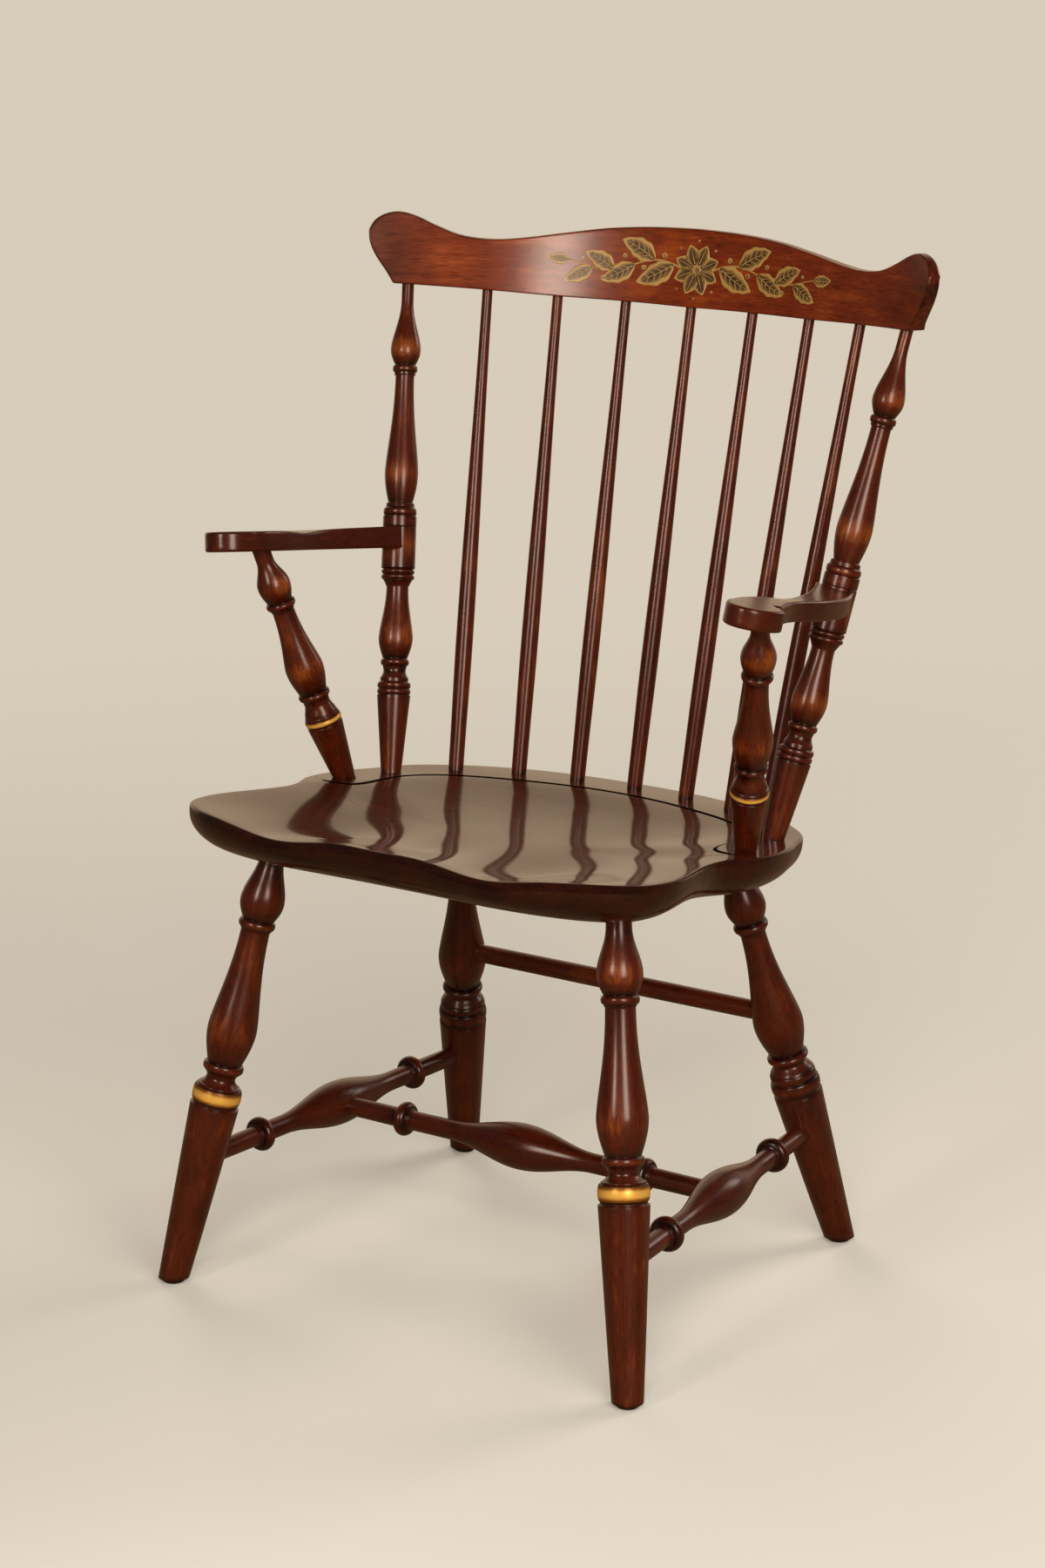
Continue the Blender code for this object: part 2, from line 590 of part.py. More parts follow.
def build_arm(name, side, material):
    """Sections square to the board, lofted from the paddle's front to the horns beside the post."""
    stations = arm_stations()
    horn_y = ARM_BODY[-1][0][1] * MM
    up = Vector((ARM_CANT, ARM_FALL, 1)).normalized()
    verts = []
    for xi, yi, xo, yo in stations:
        inner, outer = arm_top(xi, yi), arm_top(xo, yo)
        across = (outer - inner).normalized()
        edge = min(ARM_EDGE, (outer - inner).length * ARM_EDGE_LIMIT)
        scoop = ARM_SCOOP * math.exp(-((yi - ARM_SCOOP_Y) / ARM_SCOOP_WIDTH) ** 2)
        rise = ARM_HORN_RISE * min(max((yi - ARM_SCOOP_Y) / (horn_y - ARM_SCOOP_Y), 0), 1)
        inner_top = up * (rise - scoop)
        base = up * -ARM_THICKNESS
        section = (inner + across * edge + base, inner + base + up * edge,
                   inner + inner_top - up * edge, inner + across * edge + inner_top,
                   outer - across * edge, outer - up * edge,
                   outer + base + up * edge, outer - across * edge + base)
        verts += [mirrored(point, side) for point in section]
    ring = len(section)
    faces = [tuple(range(ring)), tuple(range(len(verts) - 1, len(verts) - ring - 1, -1))]
    for c in range(len(stations) - 1):
        for k in range(ring):
            a, b = c * ring + k, c * ring + (k + 1) % ring
            faces.append((b, b + ring, a + ring, a))
    if side > 0:
        faces[:2] = [face[::-1] for face in faces[:2]]
    else:
        faces[2:] = [face[::-1] for face in faces[2:]]
    arm = new_object(name, verts, [], faces, material)
    arm.data.shade_smooth()
    arm.data.set_sharp_from_angle(angle=SHARP_ANGLE)
    return arm


LEG_PLACES = {"front": (FRONT_FOOT, FRONT_LEAN, front_leg_turning),
              "rear": (REAR_FOOT, REAR_LEAN, rear_leg_turning)}


def build_leg(place, side_name, side, seat):
    """A leg with its foot sawn level, its glide, and its mortise in the seat."""
    foot, lean, turning_of = LEG_PLACES[place]
    foot = mirrored(foot, side)
    lean = mirrored(lean, side)
    up = leg_point(foot, lean, 1.0) - foot
    length = underside_height(foot, lean) * up.length + LEG_TENON
    top = foot + up.normalized() * length
    name = f"leg_{place}_{side_name}"
    leg = turned(name, turning_of(length), foot, top, LEG_SIDES, wood)
    mouth = top - up.normalized() * (LEG_TENON + MORTISE_LEAD)
    mortise(seat, f"seat_{name}", mouth, top, LEG_TENON_RADIUS, LEG_SIDES)

    sole = leg_point(foot, lean, GLIDE_HEIGHT)
    saw = Turning(SAW_RADIUS).line(SAW_DEPTH, SAW_RADIUS)
    level = Vector((sole.x, sole.y, sole.z + GAP))
    cut(leg, turned(f"saw_{name}", saw, level - Vector((0, 0, SAW_DEPTH)), level, LEG_SIDES))
    bottom = Vector((sole.x, sole.y, 0))
    glide = Turning(GLIDE_RADIUS - GLIDE_CHAMFER).line(GLIDE_CHAMFER, GLIDE_RADIUS)
    glide.line(GLIDE_HEIGHT - GLIDE_CHAMFER, GLIDE_RADIUS).line(0, NAIL_RADIUS)
    glide.line(NAIL_LENGTH - NAIL_POINT, NAIL_RADIUS).line(NAIL_POINT, BLUNT_POINT_RADIUS)
    nail_tip = bottom + Vector((0, 0, glide.length()))
    turned(f"glide_{place}_{side_name}", glide, bottom, nail_tip, POST_SIDES, glide_metal)
    mortise(leg, f"nail_{name}", bottom, nail_tip, NAIL_RADIUS, SPINDLE_SIDES)
    return leg


def build_back_post(side_name, side, seat, crest, arm):
    """A back post between seat and crest, coped into by the arm and screwed to it."""
    base = mirrored(deck(*POST_BASE), side)
    head = crest_socket(POST_CREST_PLACE * side, POST_CREST_DEPTH)
    up = (head - base).normalized()
    top = head - up * POST_SHOULDER_DROP
    low = base - up * SEAT_TENON
    high = top + up * CREST_TENON
    name = f"back_post_{side_name}"
    post = turned(name, back_post_turning((high - low).length), low, high, POST_SIDES, wood)
    mortise(seat, f"seat_{name}", base + up * MORTISE_LEAD, low, POST_BASE_RADIUS, POST_SIDES)
    mortise(crest, f"crest_{name}", top - up * MORTISE_LEAD, high, POST_CREST_TENON_RADIUS, POST_SIDES)

    inner_horn, outer_horn = [mirrored(arm_top(x * MM, y * MM), side) for x, y in ARM_BODY[-1]]
    middle_z = (inner_horn.z + outer_horn.z - ARM_THICKNESS) / 2
    joint = base + up * ((middle_z - base.z) / up.z)
    cope = Turning((POST_RADIUS + GAP) / math.cos(math.pi / COPE_SIDES))
    cope.line(2 * COPE_REACH, cope.points[0][1])
    cut(arm, turned(f"cope_{name}", cope, joint - up * COPE_REACH, joint + up * COPE_REACH, COPE_SIDES))

    across = Vector((*(outer_horn - inner_horn).xy, 0)).normalized()
    forward = across.cross(up).normalized() * side
    behind = joint - forward * POST_RADIUS
    outside = behind - forward * COUNTERBORE
    shoulder = behind + forward * COUNTERBORE
    tip = shoulder + forward * SCREW_LENGTH
    mortise(post, f"counterbore_{name}", outside, shoulder, PLUG_RADIUS, SPINDLE_SIDES)
    mortise(post, f"screw_hole_{name}", outside, tip, SCREW_RADIUS, SPINDLE_SIDES)
    mortise(arm, f"pilot_{name}", outside, tip, SCREW_RADIUS, SPINDLE_SIDES)
    screw = Turning(SCREW_HEAD_RADIUS).line(SCREW_HEAD, SCREW_HEAD_RADIUS).line(0, SCREW_RADIUS)
    screw.line(SCREW_LENGTH - SCREW_POINT, SCREW_RADIUS).line(SCREW_POINT, BLUNT_POINT_RADIUS)
    turned(f"arm_screw_{side_name}", screw, shoulder - forward * SCREW_HEAD, tip, SPINDLE_SIDES, steel)
    plug = Turning(PLUG_RADIUS).line(PLUG_LENGTH, PLUG_RADIUS)
    turned(f"arm_plug_{side_name}", plug, behind, shoulder, SPINDLE_SIDES, wood)


def build_spindle(number, base, x_side, seat, crest):
    """A tapered spindle from the deck into the crest's lower edge."""
    foot = deck(base[0] * MM * x_side, base[1] * MM)
    along = SPINDLE_CREST_PITCH * (number - len(SPINDLE_BASES))
    head = crest_socket(along, CREST_THICKNESS / 2)
    up = (head - foot).normalized()
    low_end = foot - up * SEAT_TENON
    high_end = head + up * CREST_TENON
    name = f"spindle_{number}"
    turned(name, spindle_turning((high_end - low_end).length), low_end, high_end, SPINDLE_SIDES, wood)
    mortise(seat, f"seat_{name}", foot + up * MORTISE_LEAD, low_end, SPINDLE_BASE_RADIUS, SPINDLE_SIDES)
    mortise(crest, f"crest_{name}", head - up * MORTISE_LEAD, high_end, SPINDLE_TOP_RADIUS, SPINDLE_SIDES)


def build_arm_post(side_name, side, seat, arm):
    """A raked post between the deck and the underside of the paddle."""
    base = mirrored(deck(*ARM_POST_BASE), side)
    top = mirrored(arm_top(*ARM_POST_TOP), side)
    top.z -= ARM_THICKNESS * Vector((ARM_CANT, ARM_FALL, 1)).length
    up = (top - base).normalized()
    low = base - up * SEAT_TENON
    high = top + up * ARM_TENON
    name = f"arm_post_{side_name}"
    turned(name, arm_post_turning((high - low).length), low, high, POST_SIDES, wood)
    mortise(seat, f"seat_{name}", base + up * MORTISE_LEAD, low, ARM_POST_BASE_RADIUS, POST_SIDES)
    mortise(arm, f"arm_{name}", top - up * MORTISE_LEAD, high, ARM_POST_TOP_RADIUS, POST_SIDES)


def build_stretchers(legs):
    """Two side stretchers, one medial between their bulbs, and a plain one between the rear legs."""
    sides = {}
    for side_name, side in SIDES:
        front = leg_point(mirrored(FRONT_FOOT, side), mirrored(FRONT_LEAN, side), STRETCHER_Z)
        rear = leg_point(mirrored(REAR_FOOT, side), mirrored(REAR_LEAN, side), STRETCHER_Z)
        along = (rear - front).normalized()
        start, end = front + along * TENON_SHY, rear - along * TENON_SHY
        name = f"side_stretcher_{side_name}"
        shape = stretcher_turning((end - start).length, SIDE_RING_X, SIDE_BULB_RADIUS)
        sides[side_name] = turned(name, shape, start, end, POST_SIDES, wood)
        middle = (front + rear) / 2
        mortise(legs["front", side_name], f"front_{name}", middle, start, ROD_RADIUS, LEG_SIDES)
        mortise(legs["rear", side_name], f"rear_{name}", middle, end, ROD_RADIUS, LEG_SIDES)
        share = (MEDIAL_Y - front.y) / (rear.y - front.y)
        sides[side_name, "at"] = front.lerp(rear, share)
    left, right = sides["left", "at"], sides["right", "at"]
    inward = (right - left).normalized() * MEDIAL_SHY
    start, end = left + inward, right - inward
    shape = stretcher_turning((end - start).length, MEDIAL_RING_X, MEDIAL_BULB_RADIUS)
    turned("medial_stretcher", shape, start, end, POST_SIDES, wood)
    middle = (left + right) / 2
    mortise(sides["left"], "medial_in_left", middle, start, ROD_RADIUS, POST_SIDES)
    mortise(sides["right"], "medial_in_right", middle, end, ROD_RADIUS, POST_SIDES)

    left = leg_point(mirrored(REAR_FOOT, -1), mirrored(REAR_LEAN, -1), REAR_STRETCHER_Z)
    right = leg_point(REAR_FOOT, REAR_LEAN, REAR_STRETCHER_Z)
    inward = (right - left).normalized() * TENON_SHY
    start, end = left + inward, right - inward
    half = (end - start).length / 2
    plain = Turning(ROD_END_RADIUS).line(half, ROD_RADIUS).line(half, ROD_END_RADIUS)
    turned("rear_stretcher", plain, start, end, POST_SIDES, wood)
    middle = (left + right) / 2
    mortise(legs["rear", "left"], "rear_stretcher_in_left", middle, start, ROD_RADIUS, LEG_SIDES)
    mortise(legs["rear", "right"], "rear_stretcher_in_right", middle, end, ROD_RADIUS, LEG_SIDES)


for old in list(bpy.data.objects):
    bpy.data.objects.remove(old, do_unlink=True)
parts = new_collection("windsor_armchair")
cutters = new_collection("cutters")
root = bpy.data.objects.new("chair", None)
parts.objects.link(root)
wood = new_material("stained_hardwood", (0.085, 0.022, 0.010), 0.28)
seat_wood = new_material("stained_seat_plank", (0.095, 0.027, 0.013), 0.22)
crest_wood = new_material("stained_crest", (0.105, 0.027, 0.011), 0.3)
arm_wood = new_material("stained_arm", (0.080, 0.022, 0.011), 0.26)
glide_metal = new_material("dark_glide", (0.012, 0.011, 0.010), 0.5)
steel = new_material("zinc_screw", (0.45, 0.45, 0.44), 0.35, 1.0)

seat = build_seat(seat_wood)
crest = build_crest(crest_wood)
legs = {}
for side_name, side in SIDES:
    for place in LEG_PLACES:
        legs[place, side_name] = build_leg(place, side_name, side, seat)
build_stretchers(legs)
for side_name, side in SIDES:
    arm = build_arm(f"arm_{side_name}", side, arm_wood)
    build_back_post(side_name, side, seat, crest, arm)
    build_arm_post(side_name, side, seat, arm)
for number in range(1, 2 * len(SPINDLE_BASES)):
    from_middle = number - len(SPINDLE_BASES)
    build_spindle(number, SPINDLE_BASES[abs(from_middle)], math.copysign(1, from_middle), seat, crest)

# Stand the chair over the origin: the front edge of the tilted seat and the crest's back are its ends
front_drop = HOLLOW_DEPTH + SEAT_UPRIGHT
seat_front = SEAT_OUTLINE[0][1] * MM * math.cos(SEAT_TILT) - front_drop * math.sin(SEAT_TILT)
rear_height = CREST_UPPER[0][1] * MM - CREST_BACK_EDGE
crest_back = crest_point(0, rear_height, CREST_THICKNESS - CREST_TAPER * rear_height).y
root.location.y = -(seat_front + crest_back) / 2
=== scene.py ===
"""Looks of the fan-back windsor armchair: fine turnings, a saddled seat with its gutter, and the finish.

Every visible piece is a surface worked out with numpy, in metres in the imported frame, and stands for
the plainer solid of the same place. Axes of turned pieces come from the frame; outlines are in
millimetres from the chair's own origin on the floor, with -Y to the front. "left" and "right" are
the sides as one faces the chair.
"""

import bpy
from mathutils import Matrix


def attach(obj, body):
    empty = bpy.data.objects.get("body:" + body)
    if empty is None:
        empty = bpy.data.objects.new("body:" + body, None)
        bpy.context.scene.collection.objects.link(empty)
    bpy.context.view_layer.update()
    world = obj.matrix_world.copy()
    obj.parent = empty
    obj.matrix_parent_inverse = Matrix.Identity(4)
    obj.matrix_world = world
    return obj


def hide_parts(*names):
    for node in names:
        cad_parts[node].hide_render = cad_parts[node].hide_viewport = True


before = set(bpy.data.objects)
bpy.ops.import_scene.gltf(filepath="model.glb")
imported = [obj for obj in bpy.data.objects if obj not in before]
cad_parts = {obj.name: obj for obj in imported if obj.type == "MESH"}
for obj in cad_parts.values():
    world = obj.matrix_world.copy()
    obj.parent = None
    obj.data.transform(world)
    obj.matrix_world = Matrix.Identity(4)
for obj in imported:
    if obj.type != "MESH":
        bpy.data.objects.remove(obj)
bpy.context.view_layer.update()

import math

import bmesh
import bpy
import numpy as np
from mathutils import Vector

MM = 0.001
SIDES = (("left", -1), ("right", 1))

# Camera: a long lens in front of the chair's right side, looking down a little
PHOTO_HEIGHT = 1800
SENSOR_HEIGHT = 36.0
FOCAL_PIXELS = 4315.8
CAMERA_PLACE = (1.75124, -2.65212, 1.31760)
CAMERA_AZIMUTH = 33.525
CAMERA_PITCH = 15.253
CAMERA_ROLL = -0.108

# Studio, in metres: a round floor that fades into the backdrop, and lamps that face the chair
BACKDROP = "#D8CCBA"
FLOOR_RADIUS = 3.2
FLOOR_SIDES = 120
FADE_FROM = 0.9
FADE_TO = 2.6
LAMP_TARGET = (0.0, 0.0, 0.6)
LAMP_COLOUR = "#FFF3E4"
# Cosines of the angle from straight behind the chair, between which the gloss comes to see the backdrop
BEHIND_FROM = 0.6
BEHIND_TO = 0.85

# Seat plank: the part's outline and heights, with the dish, the thigh hollows and the arris eased
SEAT_HEIGHT = 422.5
SEAT_FALL = 0.105
SEAT_TILT = math.atan(SEAT_FALL)
SEAT_THICKNESS = 38
SEAT_DISH = 13
DISH_FLOOR = 3.0
DISH_RIM = 1.4
DISH_EASE_DEGREES = 6
SEAT_ARRIS = 3.2
SEAT_UPRIGHT = 7
SEAT_UNDERCUT = 42
DISH_CENTRE = np.array([0.0, -60.0])
FAN_CENTRE = np.array([0.0, -130.0])
SEAT_OUTLINE = ((0, -229), (150, -226), (221, -194), (240, -146), (226, -72), (225, -40),
                (238, -4), (239, 34), (229, 76), (202, 131), (112, 190), (0, 207))
DECK_LINE = ((0, 151), (45, 147), (89, 136), (131, 121), (164, 101), (182, 74),
             (185, 44), (185, 20), (190, 4), (203, -4), (221, -6), (244, -1))
DECK_RISE = 2.5
DECK_RISE_FROM = 80
DECK_RISE_TO = 170
HOLLOW_DEPTH = 8.5
HOLLOW_X = 106
HOLLOW_WIDTH = 50
HOLLOW_BACK_Y = 20
POMMEL_DROP = 2
POMMEL_WIDTH = 30
# The gutter cut along the deck line, which runs out where that line comes to the edge
GUTTER_HALF_WIDTH = 1.5
GUTTER_DEPTH = 1.8
GUTTER_STEP = 0.5
GUTTER_END_INSET = 5.0
GUTTER_RUN_OUT = 8
# The seat's columns: how many, how far apart, and how close where the gutter runs out
SEAT_COLUMNS = 230
COLUMN_STEP = 4.0
CROWDED_STEP = 0.8
CROWDED_REACH = 7
# Its rows over the dish, gutter, deck, arris, undercut and flat underside
DISH_ROWS = 60
DISH_ROW_POWER = 1.15
GUTTER_ROWS = 11
DECK_ROWS = 14
ARRIS_ROWS = 6
UNDERCUT_ROWS = 18
UNDERSIDE_ROWS = 6
# Lips of the gutter, in its half widths, and the power with which the dish steps down to it
INNER_LIP = 1.3
OUTER_LIP = 1.15
GUTTER_STEP_POWER = 12
# Tone of the seat, and how much painted shade it takes in the gutter and over the edge and underside
SEAT_TONE = 0.46
GUTTER_SHADE = 1.2
SEAT_EDGE_SHADE = 0.204

# Crest rail, as in the part but with a rounder ear: bent to a radius, leaning back
CREST_RADIUS = 476
CREST_FRONT_Y = 262
CREST_BASE_Z = 840
CREST_LEAN = math.radians(11)
CREST_THICKNESS = 17
CREST_TAPER = 0.10
CREST_FRONT_EDGE = 1.2
CREST_BACK_EDGE = 4
CREST_UPPER = ((0, 69.4), (45, 68.2), (88, 64.9), (128, 59), (169, 52.8), (198, 50.8), (226, 53.8),
               (249, 62), (270, 71.4), (286, 75.4), (299, 73.2), (308, 67.2), (312.3, 58.8))
CREST_LOWER = ((0, -1.4), (72, -0.2), (137, 1.1), (207, 4.8), (285, 9.4))
CREST_END = ((285, 9.4), (293, 21), (304, 35.5), (310.5, 48), (312.3, 58.8))
# Both edges meet the spine at the same stops, farther apart than the outline's steps, to close the seam
CREST_SPINE_END = 285
CREST_SPINE_STEP = 5
# Painted shade on the edges, and the crest darker out over the ears
CREST_TONE = 0.5
CREST_EDGE_SHADE = 0.18
CREST_EAR_FROM = 222
CREST_EAR_TO = 312
CREST_EAR_DARKENING = 0.24

# Arms, as in the part but with a finer hook: flat boards that fall to the back and outwards
ARM_DATUM = np.array([257, 0, 648.1])
ARM_FALL = 0.154
ARM_CANT = 0.130
ARM_THICKNESS = 18
ARM_EDGE = 2.5
ARM_SCOOP = 2.4
ARM_SCOOP_Y = 14
ARM_SCOOP_WIDTH = 24
ARM_HORN_RISE = 2.2
ARM_JOINT_Y = 130
ARM_SPINE_ENDS = (-72, 108)
ARM_SPINE_STEP = 4
PADDLE_CENTRE = np.array([267.5, -64])
PADDLE_HALF_WIDTH = 24
PADDLE_LENGTH = 31
ARM_INNER = ((241.5, -55), (241, -43), (241.5, -21), (243.5, -4), (246, 14), (247, 32), (244.5, 52),
             (238, 74), (228, 98), (217.5, 121))
ARM_OUTER = ((275.6, -37), (270, -20), (266.5, -4), (266, 14), (268, 32), (269, 52), (267.5, 76),
             (262, 101), (246, 138))
# The hook behind the paddle: a slit that runs in from the outer edge
ARM_HOOK = ((290.6, -60), (287, -56.8), (280, -52), (274, -47.6), (272.4, -45.8), (273.6, -44.8),
            (276.4, -43.2), (277.2, -40.8))
# The tip of the inner horn, seen from the inner edge's last point
HORN_TIP = (4.6, 2.7)
# Between the arm's cope and the post
COPE_GAP = 0.3
# Tone of the arms, with painted shade on the edges and painted light across the front of the paddle
ARM_TONE = 0.46
ARM_EDGE_SHADE = 0.07
ARM_FRONT_LIGHT = 0.03
ARM_FRONT_LIGHT_Y = -95
ARM_FRONT_LIGHT_WIDTH = 10

# Shortest step of an outline, where it turns a sharp corner
SHORTEST_STEP = 0.03
# Samples of a curve within one reach of the bell that softens it
SOFT_SAMPLES = 3
# A board's rounded edge: its share of a tight corner's radius, and its growth with the way from there
EDGE_SHARE = 0.7
EDGE_GROWTH = 0.45

# Points round a turned piece, and a direction that none of them runs along
FINE_SIDES = 72
STRETCHER_SIDES = 64
SLIM_SIDES = 40
SIDEWAYS = (0.0, 1.0, 0.2)
# Turned pieces: the power of a vase's long neck, and radii of stretcher rings, feet, drum and closed ends
NECK = 0.72
STRETCHER_RING = 15.8
FOOT_RADIUS = 13.6
POST_RADIUS = 15.6
LEAST_RADIUS = 0.05
# Tenons, as in the part: of legs and sticks in the seat, and of spindles in the crest
LEG_TENON = 24
SEAT_TENON = 20
CREST_TENON = 15
# Plain necks of the legs below their tenons
FRONT_LEG_NECK = 12.2
REAR_LEG_NECK = 5.9
# The medial stretcher's place, which ties the chair's own origin to the frame
MEDIAL_STRETCHER_Y = -4
# Length of foot over which the level saw cut is taken up
SAWN_REACH = 45
# Painted shadow where a turned piece enters the deck, and the tone on its end grain
JOINT_SHADOW = 0.5
JOINT_SHADOW_REACH = 1.1
END_TONE = 0.2
# Wooden plugs over the arm screws: rings out from the middle, and how proud each is, as a share
PLUG_RADIUS = 4.6
PLUG_PROUD = 0.12
PLUG_RINGS = (0.2, 0.5, 0.8, 0.94, 1.0)
PLUG_ROUND = (1.0, 1.0, 1.0, 0.9, 0.0)
PLUG_TONE = 0.35

# Where each stick, board and plug lies in the wood's pattern, in metres
STICK_SPACING = 0.37
STICK_BILLET = np.array([1.0, 0.7, 1.3])
CREST_BILLET = np.array([3.1, 0.4, 0.9])
ARM_BILLET = np.array([1.7, 0.2, 0.5])
PLUG_BILLET = np.array([2.0, 0.0, 0.0])
LACQUER_IOR = 1.5

# Bronze powder decoration on the crest: film, half width of a leaf's tip, cover of the drawn lines
SPRAY_CENTRE = np.array([6.0, 33.0])
PAINT_FILM = 0.12
TIP = 0.04
LINE_TONE = 0.9
# How proud of the crest each coat lies, so that a later one covers those before it
STEM_COAT = 0.06
LEAF_COAT = 0.08
TOUCH_COAT = 0.10
VEIN_COAT = 0.12
# Stems of the left and the right spray
STEM_REACH = {-1: 112, 1: 118}
STEM_START = 16
STEM_WAVE = 7
STEM_HALF_WAVES = 2.2
STEM_WAVE_FADE = 0.4
STEM_POINTS = 80
# Half widths of the drawn strokes, at their start and end
STEM_STROKE = (0.9, 0.4)
MIDRIB_STROKE = (0.55, 0.2)
VEIN_STROKE = (0.4, 0.15)
PETAL_STROKE = (0.45, 0.2)
# Leaves: places along the stem, lean, and sizes, each less by a step from one to the next
LEAF_PLACES = (0.08, 0.26, 0.44, 0.62, 0.80)
LEAF_LEAN = 0.62
LEAF_BEND = 0.16
LEAF_LENGTH = 40
LEAF_LENGTH_STEP = 2.6
LEAF_WIDTH = 10.4
LEAF_WIDTH_STEP = 0.7
END_LEAF_LENGTH = 22
END_LEAF_WIDTH = 5.5
END_LEAF_BEND = 0.1
BERRY_PLACE = np.array([10, -7.5])
BERRY_RADIUS = 2.6
BERRY_RADIUS_STEP = 0.2
# Rosette: petals round a middle, with a dot past each gap
PETALS = 8
PETAL_START = 4
PETAL_LENGTH = 20
PETAL_WIDTH = 7.4
ROSETTE_MIDDLE = 4.6
BORDER_RADIUS = 26.0
BORDER_TURN = 0.39
BORDER_DOT = 1.3


def linear(code):
    """An sRGB hex colour as linear red, green, blue and alpha."""
    values = np.array([int(code[i:i + 2], 16) / 255 for i in (1, 3, 5)])
    values = np.where(values <= 0.04045, values / 12.92, ((values + 0.055) / 1.055) ** 2.4)
    return (*values.tolist(), 1.0)


def unit(vector):
    """A vector of length one."""
    return vector / np.linalg.norm(vector)


def unit_rows(rows):
    """Each row with length one."""
    return rows / np.linalg.norm(rows, axis=1)[:, None]


def smooth_step(value, low, high):
    """Nought at low and one at high, whichever is greater, by the cubic that leaves and arrives level."""
    share = np.clip((value - low) / (high - low), 0, 1)
    return share * share * (3 - 2 * share)


def smooth_through(knots, steps):
    """Catmull-Rom curve: each stretch is the cubic that leaves and arrives along its neighbours' chord."""
    k = np.asarray(knots, float)
    k = np.vstack([2 * k[0] - k[1], k, 2 * k[-1] - k[-2]])
    a, b, c, d = [k[i:len(k) - 3 + i, None] for i in range(4)]
    t = np.linspace(0, 1, steps, endpoint=False)[None, :, None]
    second = 2 * a - 5 * b + 4 * c - d
    third = 3 * b - a - 3 * c + d
    curve = b + (c - a) * t / 2 + second * t ** 2 / 2 + third * t ** 3 / 2
    return np.vstack([curve.reshape(-1, k.shape[1]), k[-2:-1]])


def walked(curve):
    """Length along a polyline at each of its points."""
    return np.concatenate([[0], np.cumsum(np.linalg.norm(np.diff(curve, axis=0), axis=1))])


def at_stops(stops, marks, curve):
    """Points of a polyline at stops on the scale of marks that its own points carry."""
    return np.stack([np.interp(stops, marks, column) for column in curve.T], 1)


def at_lengths(curve, lengths):
    """Points of a polyline at the given lengths along it."""
    return at_stops(lengths, walked(curve), curve)


def averaged(curve, bell, closed=False):
    """Each point of a polyline averaged with its neighbours, weighted by a bell."""
    pad = len(bell) // 2
    ends = {"mode": "wrap"} if closed else {"mode": "reflect", "reflect_type": "odd"}
    padded = np.pad(curve, ((pad, pad), (0, 0)), **ends)
    return np.stack([np.convolve(column, bell / bell.sum(), mode="valid") for column in padded.T], 1)


def softened(curve, reach, closed=False):
    """The polyline sampled evenly and averaged with a bell of the given reach, as sanding rounds a corner."""
    if closed:
        curve = np.vstack([curve, curve[:1]])
    total = walked(curve)[-1]
    even = at_lengths(curve, np.linspace(0, total, int(total / (reach / SOFT_SAMPLES)) + 1))
    if closed:
        even = even[:-1]
    bell = np.exp(-np.linspace(-3, 3, 6 * SOFT_SAMPLES + 1) ** 2 / 2)
    return averaged(even, bell, closed)


def thinned(curve, stride, turn_degrees, closed=False):
    """Keeps points so that each step is at most a stride long and turns at most by the angle.

    A step that would be tiny is left out.
    """
    if closed:
        curve = np.vstack([curve, curve[:1]])
    step = np.diff(curve, axis=0)
    heading = np.unwrap(np.arctan2(step[:, 1], step[:, 0]))
    turn = np.abs(np.diff(heading, prepend=heading[:1]))
    cost = np.linalg.norm(step, axis=1) / stride + turn / math.radians(turn_degrees)
    cost = np.concatenate([[0], np.cumsum(cost)])
    kept = at_stops(np.linspace(0, cost[-1], int(cost[-1]) + 2), cost, curve)
    long_enough = np.linalg.norm(np.diff(kept, axis=0), axis=1) > SHORTEST_STEP
    kept = kept[np.concatenate([[True], long_enough])]
    return kept[:-1] if closed else kept


def left_normals(curve, closed=False):
    """Unit normals to the left of a flat curve, from the chord between each point's neighbours."""
    if closed:
        chord = np.roll(curve, -1, 0) - np.roll(curve, 1, 0)
    else:
        chord = np.gradient(curve, axis=0)
    return np.stack([-chord[:, 1], chord[:, 0]], 1) / np.linalg.norm(chord, axis=1)[:, None]


def grid_quads(rows, columns, wrap):
    """Corner numbers of the quads of a grid whose columns may close on themselves."""
    i = np.arange(rows - 1)[:, None] * columns
    j = np.arange(columns if wrap else columns - 1)[None, :]
    k = (j + 1) % columns
    return np.stack([i + j, i + k, i + columns + k, i + columns + j], -1).reshape(-1, 4)


def closed_grid(rows, columns):
    """Faces of a wrapped grid whose first and last row close on the two points that follow the grid."""
    first = np.arange(columns)
    last = first + (rows - 1) * columns
    low_pole, high_pole = [np.full(columns, rows * columns + end) for end in (0, 1)]
    return [grid_quads(rows, columns, True),
            np.stack([low_pole, np.roll(first, -1), first], 1),
            np.stack([high_pole, last, np.roll(last, -1)], 1)]


